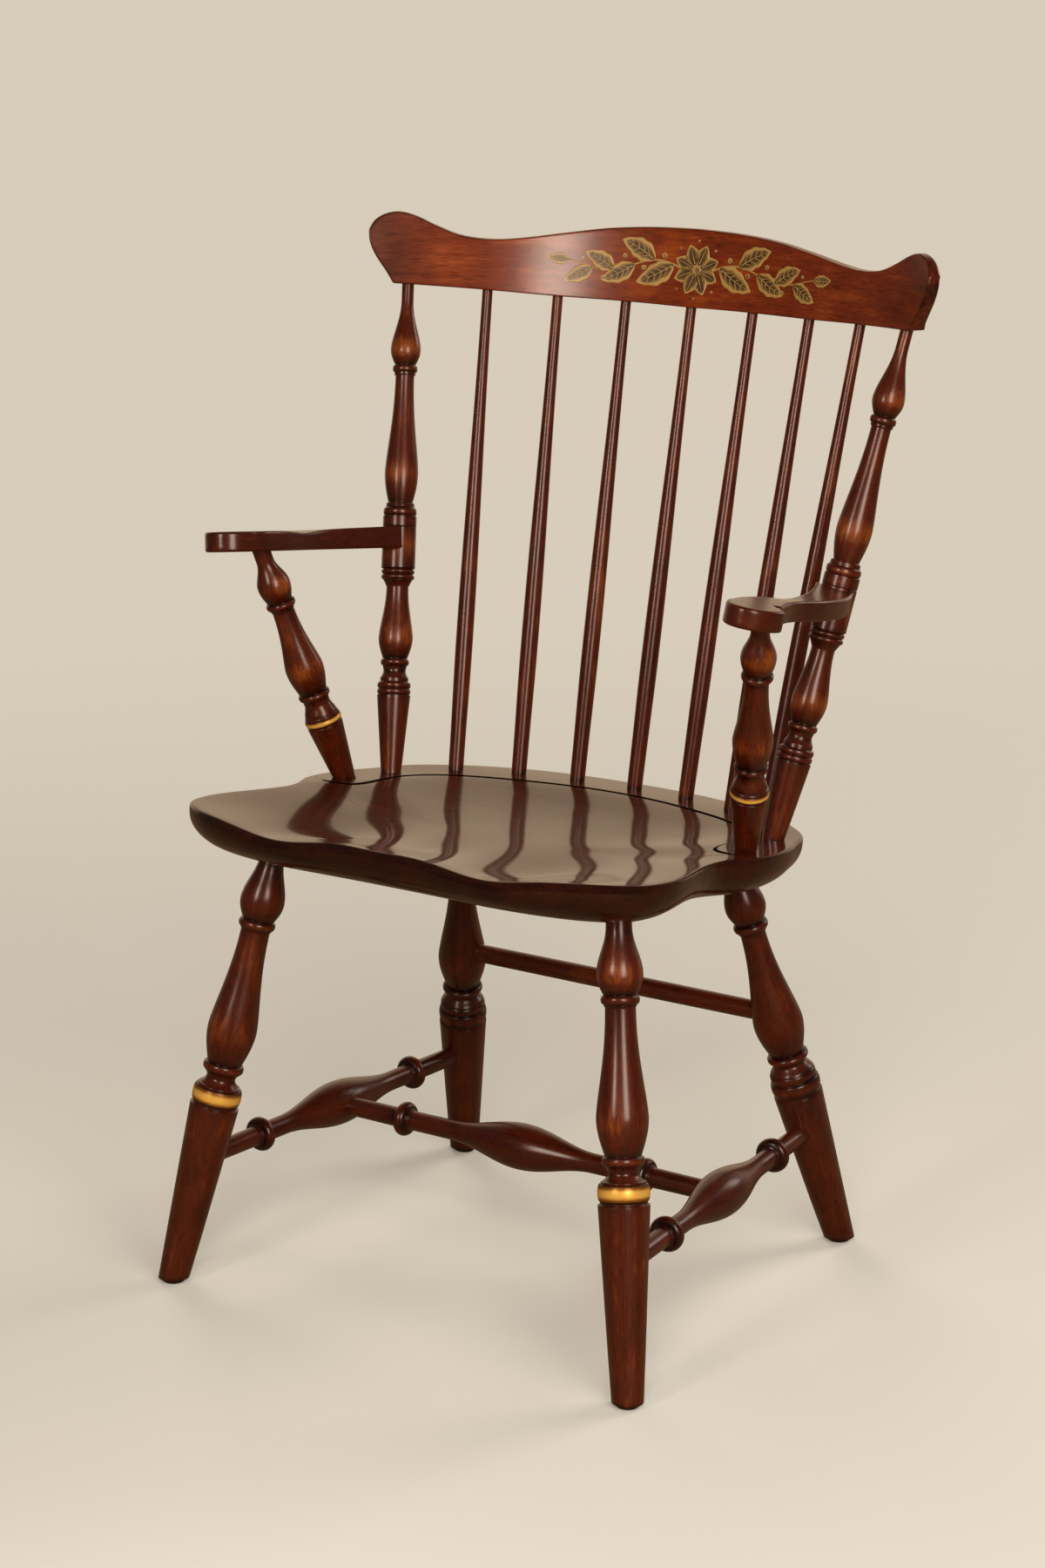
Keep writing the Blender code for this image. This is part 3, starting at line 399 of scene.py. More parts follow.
def new_piece(name, verts, faces, materials, billet, tone, closed=True):
    """A mesh object in the frame: verts in metres, and faces as arrays of corner numbers.

    A closed piece whose volume comes out negative is turned to face outwards. The billet is each
    point's place in the straight board or stick, and the tone is its shading, mostly painted light and shade.
    """
    if closed:
        fan = np.vstack([part[:, [0, k, k + 1]] for part in faces for k in range(1, part.shape[1] - 1)])
        a, b, c = [verts[corner] for corner in fan.T]
        if np.einsum("ij,ij->", a, np.cross(b, c)) < 0:
            faces = [part[:, ::-1] for part in faces]
    mesh = bpy.data.meshes.new(name)
    mesh.from_pydata(verts.tolist(), [], sum([part.tolist() for part in faces], []))
    for material in materials:
        mesh.materials.append(material)
    place = mesh.attributes.new("billet", 'FLOAT_VECTOR', 'POINT')
    place.data.foreach_set("vector", billet.astype(np.float32).ravel())
    shade = mesh.attributes.new("tone", 'FLOAT', 'POINT')
    shade.data.foreach_set("value", tone.astype(np.float32))
    mesh.shade_smooth()
    obj = bpy.data.objects.new(name, mesh)
    bpy.context.scene.collection.objects.link(obj)
    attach(obj, "root")
    return obj


def merge_seams(obj, reach=0.001 * MM):
    """Joins the points that lie on each other along a board's spine."""
    work = bmesh.new()
    work.from_mesh(obj.data)
    bmesh.ops.remove_doubles(work, verts=work.verts, dist=reach)
    bmesh.ops.dissolve_degenerate(work, dist=reach, edges=work.edges)
    work.to_mesh(obj.data)
    work.free()
    obj.data.shade_smooth()


def add(tree, kind, links=None, stops=(), **settings):
    """Adds a node, sets its properties and colour stops, and fills its inputs with values or outputs."""
    node = tree.nodes.new(kind)
    for key, value in settings.items():
        setattr(node, key, value)
    for key, value in (links or {}).items():
        if isinstance(value, bpy.types.NodeSocket):
            tree.links.new(value, node.inputs[key])
        else:
            node.inputs[key].default_value = value
    if stops:
        ramp = node.color_ramp.elements
        for place, code in stops[1:-1]:
            ramp.new(place)
        for element, (place, code) in zip(ramp, stops):
            element.position = place
            element.color = linear(code)
    return node


def bare_material(name):
    """A material whose tree has no nodes yet, and that tree."""
    material = bpy.data.materials.new(name)
    material.use_nodes = True
    material.node_tree.nodes.clear()
    return material, material.node_tree


def grain_scale(across_mm, along_mm):
    """Scale of a pattern along the billet's three axes, from the size of its marks in millimetres."""
    return (1 / (across_mm * MM), 1 / (across_mm * MM), 1 / (along_mm * MM))


def lacquered_wood(name, stain, coat_roughness, figure_mm=7.0, pore_mm=0.9, sheen="#D8804A",
                   sheen_level=0.35):
    """Maple or birch, stained and lacquered, with painted light and shade.

    The eye sees a deep red-brown body under a clear gloss: streaks of figure along the grain, short
    dark pores, the painted light and shade that the tone attribute carries, and a warm sheen from the stain.
    Real pores are finer; they are drawn as coarse as they need to show.
    """
    material, tree = bare_material(name)
    billet = add(tree, "ShaderNodeAttribute", attribute_name="billet").outputs["Vector"]
    tone = add(tree, "ShaderNodeAttribute", attribute_name="tone").outputs["Fac"]
    grain = {}
    for mark, across_mm, along_mm, detail in (("figure", figure_mm, figure_mm * 14, 4.0),
                                              ("mottle", 28, 40, 2.0),
                                              ("pores", pore_mm, pore_mm * 16, 2.0),
                                              ("peel", 5, 7, 1.0)):
        place = add(tree, "ShaderNodeVectorMath", {0: billet, 1: grain_scale(across_mm, along_mm)},
                    operation='MULTIPLY').outputs["Vector"]
        grain[mark] = add(tree, "ShaderNodeTexNoise", {"Vector": place, "Scale": 1.0,
                                                       "Detail": detail}).outputs["Fac"]
    figure_share, mottle_share = 0.55, 0.5
    depth = add(tree, "ShaderNodeMath", {0: grain["figure"], 1: figure_share, 2: tone},
                operation='MULTIPLY_ADD').outputs[0]
    depth = add(tree, "ShaderNodeMath", {0: grain["mottle"], 1: mottle_share, 2: depth},
                operation='MULTIPLY_ADD').outputs[0]
    depth = add(tree, "ShaderNodeMath", {0: depth, 1: (figure_share + mottle_share) / 2},
                operation='SUBTRACT').outputs[0]
    ramp = add(tree, "ShaderNodeValToRGB", {"Fac": depth}, stops=tuple(zip((0.0, 0.5, 1.0), stain)))
    pore_mask = add(tree, "ShaderNodeMapRange", {"Value": grain["pores"], "From Min": 0.36, "From Max": 0.54,
                                                 "To Min": 0.5, "To Max": 1.0}).outputs["Result"]
    colour = add(tree, "ShaderNodeMix", {"Factor": 1.0, 6: ramp.outputs["Color"], 7: pore_mask},
                 data_type='RGBA', blend_type='MULTIPLY').outputs[2]
    peel = add(tree, "ShaderNodeBump", {"Height": grain["peel"], "Strength": 0.03, "Distance": 0.2 * MM})
    shader = add(tree, "ShaderNodeBsdfPrincipled", {
        "Base Color": colour, "Roughness": 0.36, "Specular IOR Level": sheen_level,
        "Specular Tint": linear(sheen), "Coat Weight": 1.0, "Coat Roughness": coat_roughness,
        "Coat IOR": LACQUER_IOR, "Coat Normal": peel.outputs["Normal"]})
    add(tree, "ShaderNodeOutputMaterial", {"Surface": shader.outputs["BSDF"]})
    return material


def bronze_paint(name):
    """Bronze powder in varnish, brushed on a ring.

    The eye sees a warm metallic gold, streaked, with a painted highlight along the ring's crown and painted
    shade at its edges, carried by the tone.
    """
    material, tree = bare_material(name)
    billet = add(tree, "ShaderNodeAttribute", attribute_name="billet").outputs["Vector"]
    tone = add(tree, "ShaderNodeAttribute", attribute_name="tone").outputs["Fac"]
    streak_mm, streak_height_mm = 8, 1.4
    place = add(tree, "ShaderNodeVectorMath", {0: billet, 1: grain_scale(streak_mm, streak_height_mm)},
                operation='MULTIPLY').outputs["Vector"]
    streaks = add(tree, "ShaderNodeTexNoise", {"Vector": place, "Scale": 1.0, "Detail": 3.0}).outputs["Fac"]
    # The tone brings painted shade at the ring's edges and a painted highlight along its crown
    cover = add(tree, "ShaderNodeMath", {0: streaks, 1: 0.16, 2: tone}, operation='MULTIPLY_ADD').outputs[0]
    ramp = add(tree, "ShaderNodeValToRGB", {"Fac": cover},
               stops=((0.34, "#351607"), (0.62, "#A0641E"), (0.82, "#FFC45A")))
    shader = add(tree, "ShaderNodeBsdfPrincipled", {"Base Color": ramp.outputs["Color"], "Metallic": 0.5,
                                                    "Roughness": 0.34})
    add(tree, "ShaderNodeOutputMaterial", {"Surface": shader.outputs["BSDF"]})
    return material


def stencil_paint(name):
    """Bronze powders rubbed through a stencil on tacky varnish: bright gold at the margins, fading to umber.

    The eye sees a soft, dusty gradient with a fine speckle, under the same lacquer as the wood. The
    powder is finer in reality; its speckle is drawn as coarse as it needs to show.
    """
    material, tree = bare_material(name)
    billet = add(tree, "ShaderNodeAttribute", attribute_name="billet").outputs["Vector"]
    cover = add(tree, "ShaderNodeAttribute", attribute_name="tone").outputs["Fac"]
    dust_mm, cloud_mm = 1.1, 11
    for size_mm, detail, share in ((dust_mm, 2.0, 0.3), (cloud_mm, 1.0, 0.5)):
        speckle = add(tree, "ShaderNodeTexNoise", {"Vector": billet, "Scale": 1 / (size_mm * MM),
                                                   "Detail": detail}).outputs["Fac"]
        cover = add(tree, "ShaderNodeMath", {0: speckle, 1: share, 2: cover},
                    operation='MULTIPLY_ADD').outputs[0]
    ramp = add(tree, "ShaderNodeValToRGB", {"Fac": cover},
               stops=((0.38, "#33200F"), (0.72, "#6E5128"), (1.0, "#B08A4A")))
    shader = add(tree, "ShaderNodeBsdfPrincipled", {
        "Base Color": ramp.outputs["Color"], "Metallic": 0.25, "Roughness": 0.45, "Coat Weight": 0.6,
        "Coat Roughness": 0.24, "Coat IOR": LACQUER_IOR})
    add(tree, "ShaderNodeOutputMaterial", {"Surface": shader.outputs["BSDF"]})
    return material


def painted_groove_shade(name):
    """Painted shade in a cut line: nearly black, dull, almost without reflection, a little uneven."""
    material, tree = bare_material(name)
    place = add(tree, "ShaderNodeTexCoord").outputs["Object"]
    patch_mm = 4
    uneven = add(tree, "ShaderNodeTexNoise", {"Vector": place, "Scale": 1 / (patch_mm * MM), "Detail": 2.0})
    ramp = add(tree, "ShaderNodeValToRGB", {"Fac": uneven.outputs["Fac"]},
               stops=((0.3, "#050201"), (0.8, "#160703")))
    shader = add(tree, "ShaderNodeBsdfPrincipled", {"Base Color": ramp.outputs["Color"], "Roughness": 0.8,
                                                    "Specular IOR Level": 0.1})
    add(tree, "ShaderNodeOutputMaterial", {"Surface": shader.outputs["BSDF"]})
    return material


def dark_lacquered_steel(name):
    """Pressed steel glide in a dark, worn lacquer: nearly black, dull, with scuffs."""
    material, tree = bare_material(name)
    place = add(tree, "ShaderNodeTexCoord").outputs["Object"]
    scuff_mm = 1.1
    scuff = add(tree, "ShaderNodeTexNoise", {"Vector": place, "Scale": 1 / (scuff_mm * MM), "Detail": 3.0})
    ramp = add(tree, "ShaderNodeValToRGB", {"Fac": scuff.outputs["Fac"]},
               stops=((0.35, "#0E0C0B"), (0.75, "#2A2420")))
    shader = add(tree, "ShaderNodeBsdfPrincipled", {"Base Color": ramp.outputs["Color"], "Roughness": 0.5})
    add(tree, "ShaderNodeOutputMaterial", {"Surface": shader.outputs["BSDF"]})
    return material


def zinc_steel(name):
    """Zinc-plated screw: grey, faintly mottled metal."""
    material, tree = bare_material(name)
    place = add(tree, "ShaderNodeTexCoord").outputs["Object"]
    spangle_mm = 0.8
    spangle = add(tree, "ShaderNodeTexVoronoi", {"Vector": place, "Scale": 1 / (spangle_mm * MM)})
    ramp = add(tree, "ShaderNodeValToRGB", {"Fac": spangle.outputs["Distance"]},
               stops=((0.0, "#A9ACAE"), (1.0, "#8C9092")))
    shader = add(tree, "ShaderNodeBsdfPrincipled", {"Base Color": ramp.outputs["Color"], "Metallic": 1.0,
                                                    "Roughness": 0.35})
    add(tree, "ShaderNodeOutputMaterial", {"Surface": shader.outputs["BSDF"]})
    return material


class Turning:
    """A turned profile laid out from its lower end, in millimetres.

    It also keeps where its tone is painted light and shade: painted light over the bellies, a painted
    highlight on each crown, painted shade in the quirks and along the fades; and which stretches are gilded.
    """

    STEP, FEWEST_STEPS = 0.4, 6
    # Painted highlight along a crown, and painted shade in a quirk, with their reaches in millimetres
    CROWN_WEAR, CROWN_REACH = 0.16, 2.0
    QUIRK_DARK, QUIRK_REACH = 0.32, 3.5
    # Across a gilded ring the tone is painted shade at its edges, rising to a painted highlight along its
    # crown
    GILT_EDGE, GILT_RISE, GILT_POWER = 0.24, 0.56, 1.5
    # A fade ends just past its dark end
    FADE_END = 1.02

    def __init__(self, radius):
        self.points = [np.array([[0.0, radius]])]
        # The body's tone, the depth of the painted shade along fades, and the painted light over bellies with
        # its reach
        self.body, self.painted_shade = 0.44, 0.2
        self.glow, self.glow_reach = 0.08, 16
        self.bellies, self.crowns, self.quirks = [], [], []
        self.gilded, self.fades = [], []

    def end(self):
        """The place and the radius of the last point."""
        return self.points[-1][-1]

    def length(self):
        """How far the profile has come."""
        return self.end()[0]

    def _follow(self, length, shape):
        """Goes on by a length; shape gives the radius from the last one and the share of the way."""
        start, radius = self.end()
        t = np.linspace(0, 1, max(int(length / self.STEP), self.FEWEST_STEPS) + 1)[1:]
        self.points.append(np.stack([start + length * t, shape(radius, t)], 1))
        return self

    def line(self, length, radius):
        """A straight taper, or a step where the length is nearly nothing."""
        self.points.append(np.array([[self.length() + length, radius]]))
        return self

    def swell(self, length, radius):
        """A quarter of a sine: rises steeply and levels out, as the foot of a vase does."""
        start = self.length()
        self._follow(length, lambda r, t: r + (radius - r) * np.sin(t * np.pi / 2))
        # Painted light over the belly, and painted shade that deepens from below it down to the swell's start
        self.bellies.append(self.length())
        self.fades.append((self.length() - length / 4, start))
        return self

    def ease(self, length, radius, early=1.0):
        """Half a cosine wave: leaves and arrives level; an early power below one makes a long slim neck."""
        return self._follow(length, lambda r, t: r + (radius - r) * (1 - np.cos(t ** early * np.pi)) / 2)

    def bead(self, length, radius, gilt=False):
        """A half-round ring, an arch of a circle's form that comes back to the radius it left."""
        start = self.length()
        self._follow(length, lambda r, t: r + (radius - r) * np.sqrt(np.clip(1 - (2 * t - 1) ** 2, 0, 1)))
        # Painted shade in the quirks at both ends, and a painted highlight along the crown
        self.quirks += [start, self.length()]
        self.crowns.append(start + length / 2)
        if gilt:
            self.gilded.append((start, self.length()))
        return self

    def cove(self, length, waist, radius):
        """A hollow: the straight way to the new radius, less an arch down to the waist."""
        start = self.length()
        self._follow(length, lambda r, t: (r + (radius - r) * t
                                           - ((r + radius) / 2 - waist) * np.sin(t * np.pi)))
        # Painted shade in the hollow
        self.quirks.append(start + length / 2)
        return self

    def score(self, width, depth):
        """A scored line: a narrow notch that comes back to the radius it left."""
        start = self.length()
        self._follow(width, lambda r, t: r - depth * (1 - np.abs(2 * t - 1)))
        # Painted shade in the scored line
        self.quirks.append(start + width / 2)
        return self

    def fade(self, length):
        """Painted shade that deepens along the last stretch of the given length."""
        self.fades.append((self.length() - length, self.length()))
        return self

    def on_foot(self, length, foot_radius):
        """Puts the turning at the top of a tapered foot that makes up the length."""
        foot = length - self.length()
        self.points = [np.array([[0.0, foot_radius]])] + [p + (foot, 0) for p in self.points]
        for places in (self.bellies, self.crowns, self.quirks):
            places[:] = [s + foot for s in places]
        for stretches in (self.gilded, self.fades):
            stretches[:] = [(a + foot, b + foot) for a, b in stretches]
        return self

    def rows(self, reach=0.3, stride=5.0, turn_degrees=8.0):
        """The profile with its corners sanded, thinned to the rows that its shape needs."""
        profile = np.vstack(self.points)
        return thinned(softened(profile, reach), stride, turn_degrees)

    def tone(self, s):
        """Painted light and shade along the piece: light over bellies, highlights on crowns, shade at quirks
        and fades.
        """
        from_belly, from_crown, from_quirk = [s[:, None] - np.array(places)
                                              for places in (self.bellies, self.crowns, self.quirks)]
        light = np.exp(-(from_belly / self.glow_reach) ** 2).sum(-1)
        # worn is the painted highlight along the crowns, and dark the painted shade in the quirks
        worn = np.exp(-(from_crown / self.CROWN_REACH) ** 2).max(-1, initial=0)
        dark = np.exp(-np.abs(from_quirk) / self.QUIRK_REACH).max(-1, initial=0)
        tone = self.body + self.glow * light + self.CROWN_WEAR * worn - self.QUIRK_DARK * dark
        # Painted shade deepening along each fade
        for light_end, dark_end in self.fades:
            share = (s - light_end) / (dark_end - light_end)
            tone = tone - self.painted_shade * np.where(share < self.FADE_END, np.clip(share, 0, 1), 0)
        # Across a gilded ring: painted shade at its edges and a painted highlight along its crown
        for low, high in self.gilded:
            across = (2 * s - low - high) / (high - low)
            crown = np.clip(1 - across ** 2, 0, 1) ** self.GILT_POWER
            tone = np.where(np.abs(across) < 1, self.GILT_EDGE + self.GILT_RISE * crown, tone)
        return tone


def points_of(node):
    """The points of a solid's mesh in the frame, each once, in metres."""
    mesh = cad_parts[node].data
    points = np.empty(len(mesh.vertices) * 3)
    mesh.vertices.foreach_get("co", points)
    return np.unique(np.round(points.reshape(-1, 3), 6), axis=0)


def axis_of(node, sawn_level=False):
    """The middles of a long turned solid's two flat ends, lower one first."""
    end_reach, level_reach = 2 * MM, 0.1 * MM
    points = points_of(node)
    centred = points - points.mean(0)
    along = np.linalg.svd(centred, full_matrices=False)[2][0]
    if along[2] < 0:
        along = -along
    reach = centred @ along
    low, high = [points[np.abs(reach - edge) < end_reach] for edge in (reach.min(), reach.max())]
    if sawn_level:
        low = points[points[:, 2] < points[:, 2].min() + level_reach]
    return [(end.min(0) + end.max(0)) / 2 for end in (low, high)]


def turned_piece(name, node, turning, start, end, sides, materials, joint=None, sawn=None):
    """A turning about the line from start to end: each row is a circle of the profile's radius.

    The billet keeps the piece's own upright coordinates, so the figure runs along the turning as in
    the stick it was cut from; each piece has its own place in the pattern. joint is a function of the
    points that says how far they are from the joint line, which gets a painted shadow; sawn is the
    height at which the foot is sawn level.
    """
    rows = turning.rows()
    s, r = rows[:, 0] * MM, np.maximum(rows[:, 1], LEAST_RADIUS) * MM
    along = unit(end - start)
    across = unit(np.cross(along, SIDEWAYS))
    third = np.cross(along, across)
    angle = np.linspace(0, 2 * np.pi, sides, endpoint=False)
    ring_x = np.cos(angle)[None, :] * r[:, None]
    ring_y = np.sin(angle)[None, :] * r[:, None]
    walk = np.repeat(s[:, None], sides, 1)
    if sawn is not None:
        offset = (ring_x[..., None] * across + ring_y[..., None] * third)[..., 2]
        plane = (sawn - start[2] - offset) / along[2]
        share = np.clip((SAWN_REACH * MM - walk) / (SAWN_REACH * MM), 0, 1)
        walk = walk + share * plane
    grid = start + walk[..., None] * along + ring_x[..., None] * across + ring_y[..., None] * third
    verts = np.vstack([grid.reshape(-1, 3), grid[0].mean(0), grid[-1].mean(0)])
    seed = sum(map(ord, name)) * STICK_SPACING
    straight = np.stack([ring_x, ring_y, walk], -1).reshape(-1, 3)
    billet = np.vstack([straight, (0, 0, s[0]), (0, 0, s[-1])]) + seed * STICK_BILLET
    tone = np.concatenate([np.repeat(turning.tone(rows[:, 0]), sides), [END_TONE, END_TONE]])
    # Painted shadow along the line where the piece enters the deck
    if joint is not None:
        tone = tone - JOINT_SHADOW * np.exp(-(joint(verts) / (JOINT_SHADOW_REACH * MM)) ** 2)
    obj = new_piece(name, verts, closed_grid(len(rows), sides), materials, billet, tone)
    middle = (rows[:-1, 0] + rows[1:, 0]) / 2
    gilt = np.zeros(len(middle), int)
    for low, high in turning.gilded:
        gilt |= (middle > low) & (middle < high)
    index = np.concatenate([np.repeat(gilt, sides), np.zeros(2 * sides, int)])
    obj.data.polygons.foreach_set("material_index", index.astype(np.int32))
    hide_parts(node)


def turned_stick(node, turning_of, sides, materials, joint=None):
    """A turned piece from end to end of its solid; turning_of gives the profile for a length."""
    low, top = axis_of(node)
    turning = turning_of(np.linalg.norm(top - low) / MM)
    turned_piece(f"turned_{node}", node, turning, low, top, sides, materials, joint)


def deck_rise(y):
    """How far the deck curls up above the plank's plane, in a smooth step towards the back."""
    return DECK_RISE * smooth_step(y, DECK_RISE_FROM, DECK_RISE_TO)


def hollow_depth(x, y):
    """How far the front of the seat lies below the plank's plane: thigh hollows and pommel."""
    thighs = HOLLOW_DEPTH * np.exp(-((np.abs(x) - HOLLOW_X) / HOLLOW_WIDTH) ** 2)
    pommel = POMMEL_DROP * np.exp(-(x / POMMEL_WIDTH) ** 2)
    return (thighs + pommel) * smooth_step(y, HOLLOW_BACK_Y, SEAT_OUTLINE[0][1])


def seat_outline_half():
    """The right half of the seat's outline, from the front middle to the back middle."""
    steps = 24
    before, after = [[(-x, y)] for x, y in (SEAT_OUTLINE[1], SEAT_OUTLINE[-2])]
    return smooth_through(before + list(SEAT_OUTLINE) + after, steps)[steps:-steps]


def deck_line_half():
    """The right half of the deck line, from the back middle to past the edge."""
    steps = 24
    before = [(-DECK_LINE[1][0], DECK_LINE[1][1])]
    return smooth_through(before + list(DECK_LINE), steps)[steps:]


def dish_reach(outline, deck):
    """How far the dish goes at each bearing: to the deck line behind, the edge in front, eased between."""
    step = 0.25
    bearing = np.radians(np.arange(-90, 90 + step, step))
    edge = outline - DISH_CENTRE
    rim = np.interp(bearing, np.arctan2(edge[:, 1], edge[:, 0]), np.linalg.norm(edge, axis=1)) - SEAT_ARRIS
    line = deck[::-1] - DISH_CENTRE
    line_bearing = np.maximum.accumulate(np.arctan2(line[:, 1], line[:, 0]))
    reach = np.interp(bearing, line_bearing, np.linalg.norm(line, axis=1))
    radius = np.where(bearing > line_bearing[0], np.minimum(reach, rim), rim)
    half = int(3 * DISH_EASE_DEGREES / step)
    bell = np.exp(-(np.arange(-half, half + 1) * step / DISH_EASE_DEGREES) ** 2 / 2)
    return bearing, np.convolve(np.pad(radius, half, mode="reflect"), bell / bell.sum(), mode="valid")


def seat_top(x, y, bearings, reach):
    """Height of the seat above its plane: a level deck, and a dish with an eased rim and a flat floor."""
    ray = np.stack([np.abs(x), y], -1) - DISH_CENTRE
    radius = np.interp(np.arctan2(ray[..., 1], ray[..., 0]), bearings, reach)
    share = np.clip(np.linalg.norm(ray, axis=-1) / radius, 0, 1)
    return deck_rise(y) - SEAT_DISH * (1 - share ** DISH_FLOOR) ** DISH_RIM - hollow_depth(x, y)


def on_seat(local):
    """Points of the plank, in its own tilted frame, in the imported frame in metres."""
    c, s = math.cos(SEAT_TILT), math.sin(SEAT_TILT)
    x, y, z = local[..., 0], local[..., 1], local[..., 2]
    return np.stack([x, y * c + z * s + BACKWARD, SEAT_HEIGHT - y * s + z * c], -1) * MM


def both_halves(right, mirror=1):
    """Carries the right half, front middle to back middle, round the left side."""
    return np.concatenate([right, (right * mirror)[-2:0:-1]])


def seat_columns(half, deck):
    """Where the right half's columns cross the edge and the gutter, and the ways outwards there.

    They crowd together where the deck line comes to the edge. Behind that place they cross the gutter;
    in front of it they cross a line just inside the edge instead, where the gutter has no depth. The
    share of its depth that the gutter has comes last.
    """
    walk = walked(half)
    meet = walk[np.argmin(np.linalg.norm(half - DECK_LINE[-1], axis=1))]
    samples = 4000
    fine = np.linspace(0, walk[-1], samples)
    density = 1 / COLUMN_STEP + np.exp(-((fine - meet) / CROWDED_REACH) ** 2) / CROWDED_STEP
    spread = np.cumsum(density)
    stops = np.interp(np.linspace(spread[0], spread[-1], SEAT_COLUMNS), spread, fine)
    edge = at_stops(stops, walk, half)
    outward = at_stops(stops, walk, -left_normals(half))
    outward[[0, -1], 0] = 0
    outward = unit_rows(outward)

    inset = edge - outward * (SEAT_ARRIS + GUTTER_END_INSET)
    front = stops <= meet
    join = inset[front][-1]
    inwards = deck[::-1]
    path = np.vstack([join[None], inwards[inwards[:, 0] < join[0] - COLUMN_STEP]])
    share = (stops[~front] - meet) / (walk[-1] - meet)
    gutter = np.vstack([inset[front], at_lengths(path, share * walked(path)[-1])])
    gutter[-1] = deck[0]
    gutter = averaged(gutter, np.exp(-np.linspace(-2, 2, 7) ** 2))
    gutter[[0, -1], 0] = 0
    across = -left_normals(gutter)
    across[[0, -1], 0] = 0
    cut = np.clip((stops - meet) / GUTTER_RUN_OUT, 0, 1)
    return edge, outward, gutter, unit_rows(across), cut


def carved_seat(material, stain):
    """A fan of columns from the middle of the dish to the edge, and on to the middle of the underside.

    Its rows run over the dish, through the gutter as a rounded notch, over the deck, round the arris,
    down the upright edge, in along the undercut as a quarter of an ellipse, and over the flat below.
    """
    half, deck = seat_outline_half(), deck_line_half()
    bearings, reach = dish_reach(half, deck)
    *places, cut = seat_columns(half, deck)
    edge, outward, gutter, across = [both_halves(place, (-1, 1)) for place in places]
    cut = both_halves(cut)

    def surface(xy, lower=0.0):
        return np.column_stack([xy, seat_top(xy[:, 0], xy[:, 1], bearings, reach) - lower])

    plain = np.zeros(len(edge))
    rows, groove = [], []
    for share in np.linspace(0, 1, DISH_ROWS + 1)[1:] ** DISH_ROW_POWER:
        xy = FAN_CENTRE + (gutter - across * GUTTER_HALF_WIDTH * INNER_LIP - FAN_CENTRE) * share
        rows.append(surface(xy, GUTTER_STEP * cut * share ** GUTTER_STEP_POWER))
        groove.append(plain)
    for offset in np.linspace(-1, 1, GUTTER_ROWS):
        notch = cut * math.sqrt(1 - offset ** 2)
        lower = GUTTER_STEP * cut * (1 - offset) / 2 + GUTTER_DEPTH * notch
        rows.append(surface(gutter + across * GUTTER_HALF_WIDTH * offset, lower))
        groove.append(notch)
    lip = edge - outward * SEAT_ARRIS
    start = gutter + across * GUTTER_HALF_WIDTH * OUTER_LIP
    for share in np.linspace(0.02, 1, DECK_ROWS):
        rows.append(surface(start + (lip - start) * share))
        groove.append(plain)
    lip_height = rows[-1][:, 2]
    for turn in np.radians(np.linspace(15, 90, ARRIS_ROWS)):
        xy = edge - outward * SEAT_ARRIS * (1 - math.sin(turn))
        rows.append(np.column_stack([xy, lip_height - SEAT_ARRIS * (1 - math.cos(turn))]))
    upright_end = lip_height - SEAT_UPRIGHT
    for turn in np.radians(np.linspace(0, 90, UNDERCUT_ROWS)):
        xy = edge - outward * SEAT_UNDERCUT * (1 - math.cos(turn))
        rows.append(np.column_stack([xy, upright_end + (-SEAT_THICKNESS - upright_end) * math.sin(turn)]))
    under = rows[-1][:, :2]
    for share in np.linspace(0.85, 0.1, UNDERSIDE_ROWS):
        xy = DISH_CENTRE + (under - DISH_CENTRE) * share
        rows.append(np.column_stack([xy, np.full(len(xy), -SEAT_THICKNESS)]))
    poles = np.vstack([surface(FAN_CENTRE[None]), [[*DISH_CENTRE, -SEAT_THICKNESS]]])
    local = np.vstack(rows + [poles])
    groove = np.concatenate(groove)
    below = len(rows) * len(edge) - len(groove)
    # Painted shade in the gutter, and over the arris, edge, undercut and underside
    painted_shade = np.concatenate([GUTTER_SHADE * groove, np.full(below, SEAT_EDGE_SHADE), np.zeros(len(poles))])
    billet = local[:, [1, 2, 0]] * MM
    faces = closed_grid(len(rows), len(edge))
    obj = new_piece("carved_seat", on_seat(local), faces, [material, stain], billet, SEAT_TONE - painted_shade)
    # The faces deep in the gutter take the second material, its black painted shade
    stained = np.pad(groove, (0, below))[faces[0]].max(1) > 0.5
    index = np.concatenate([stained, np.zeros(2 * len(edge))])
    obj.data.polygons.foreach_set("material_index", index.astype(np.int32))
    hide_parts("seat")
    return obj


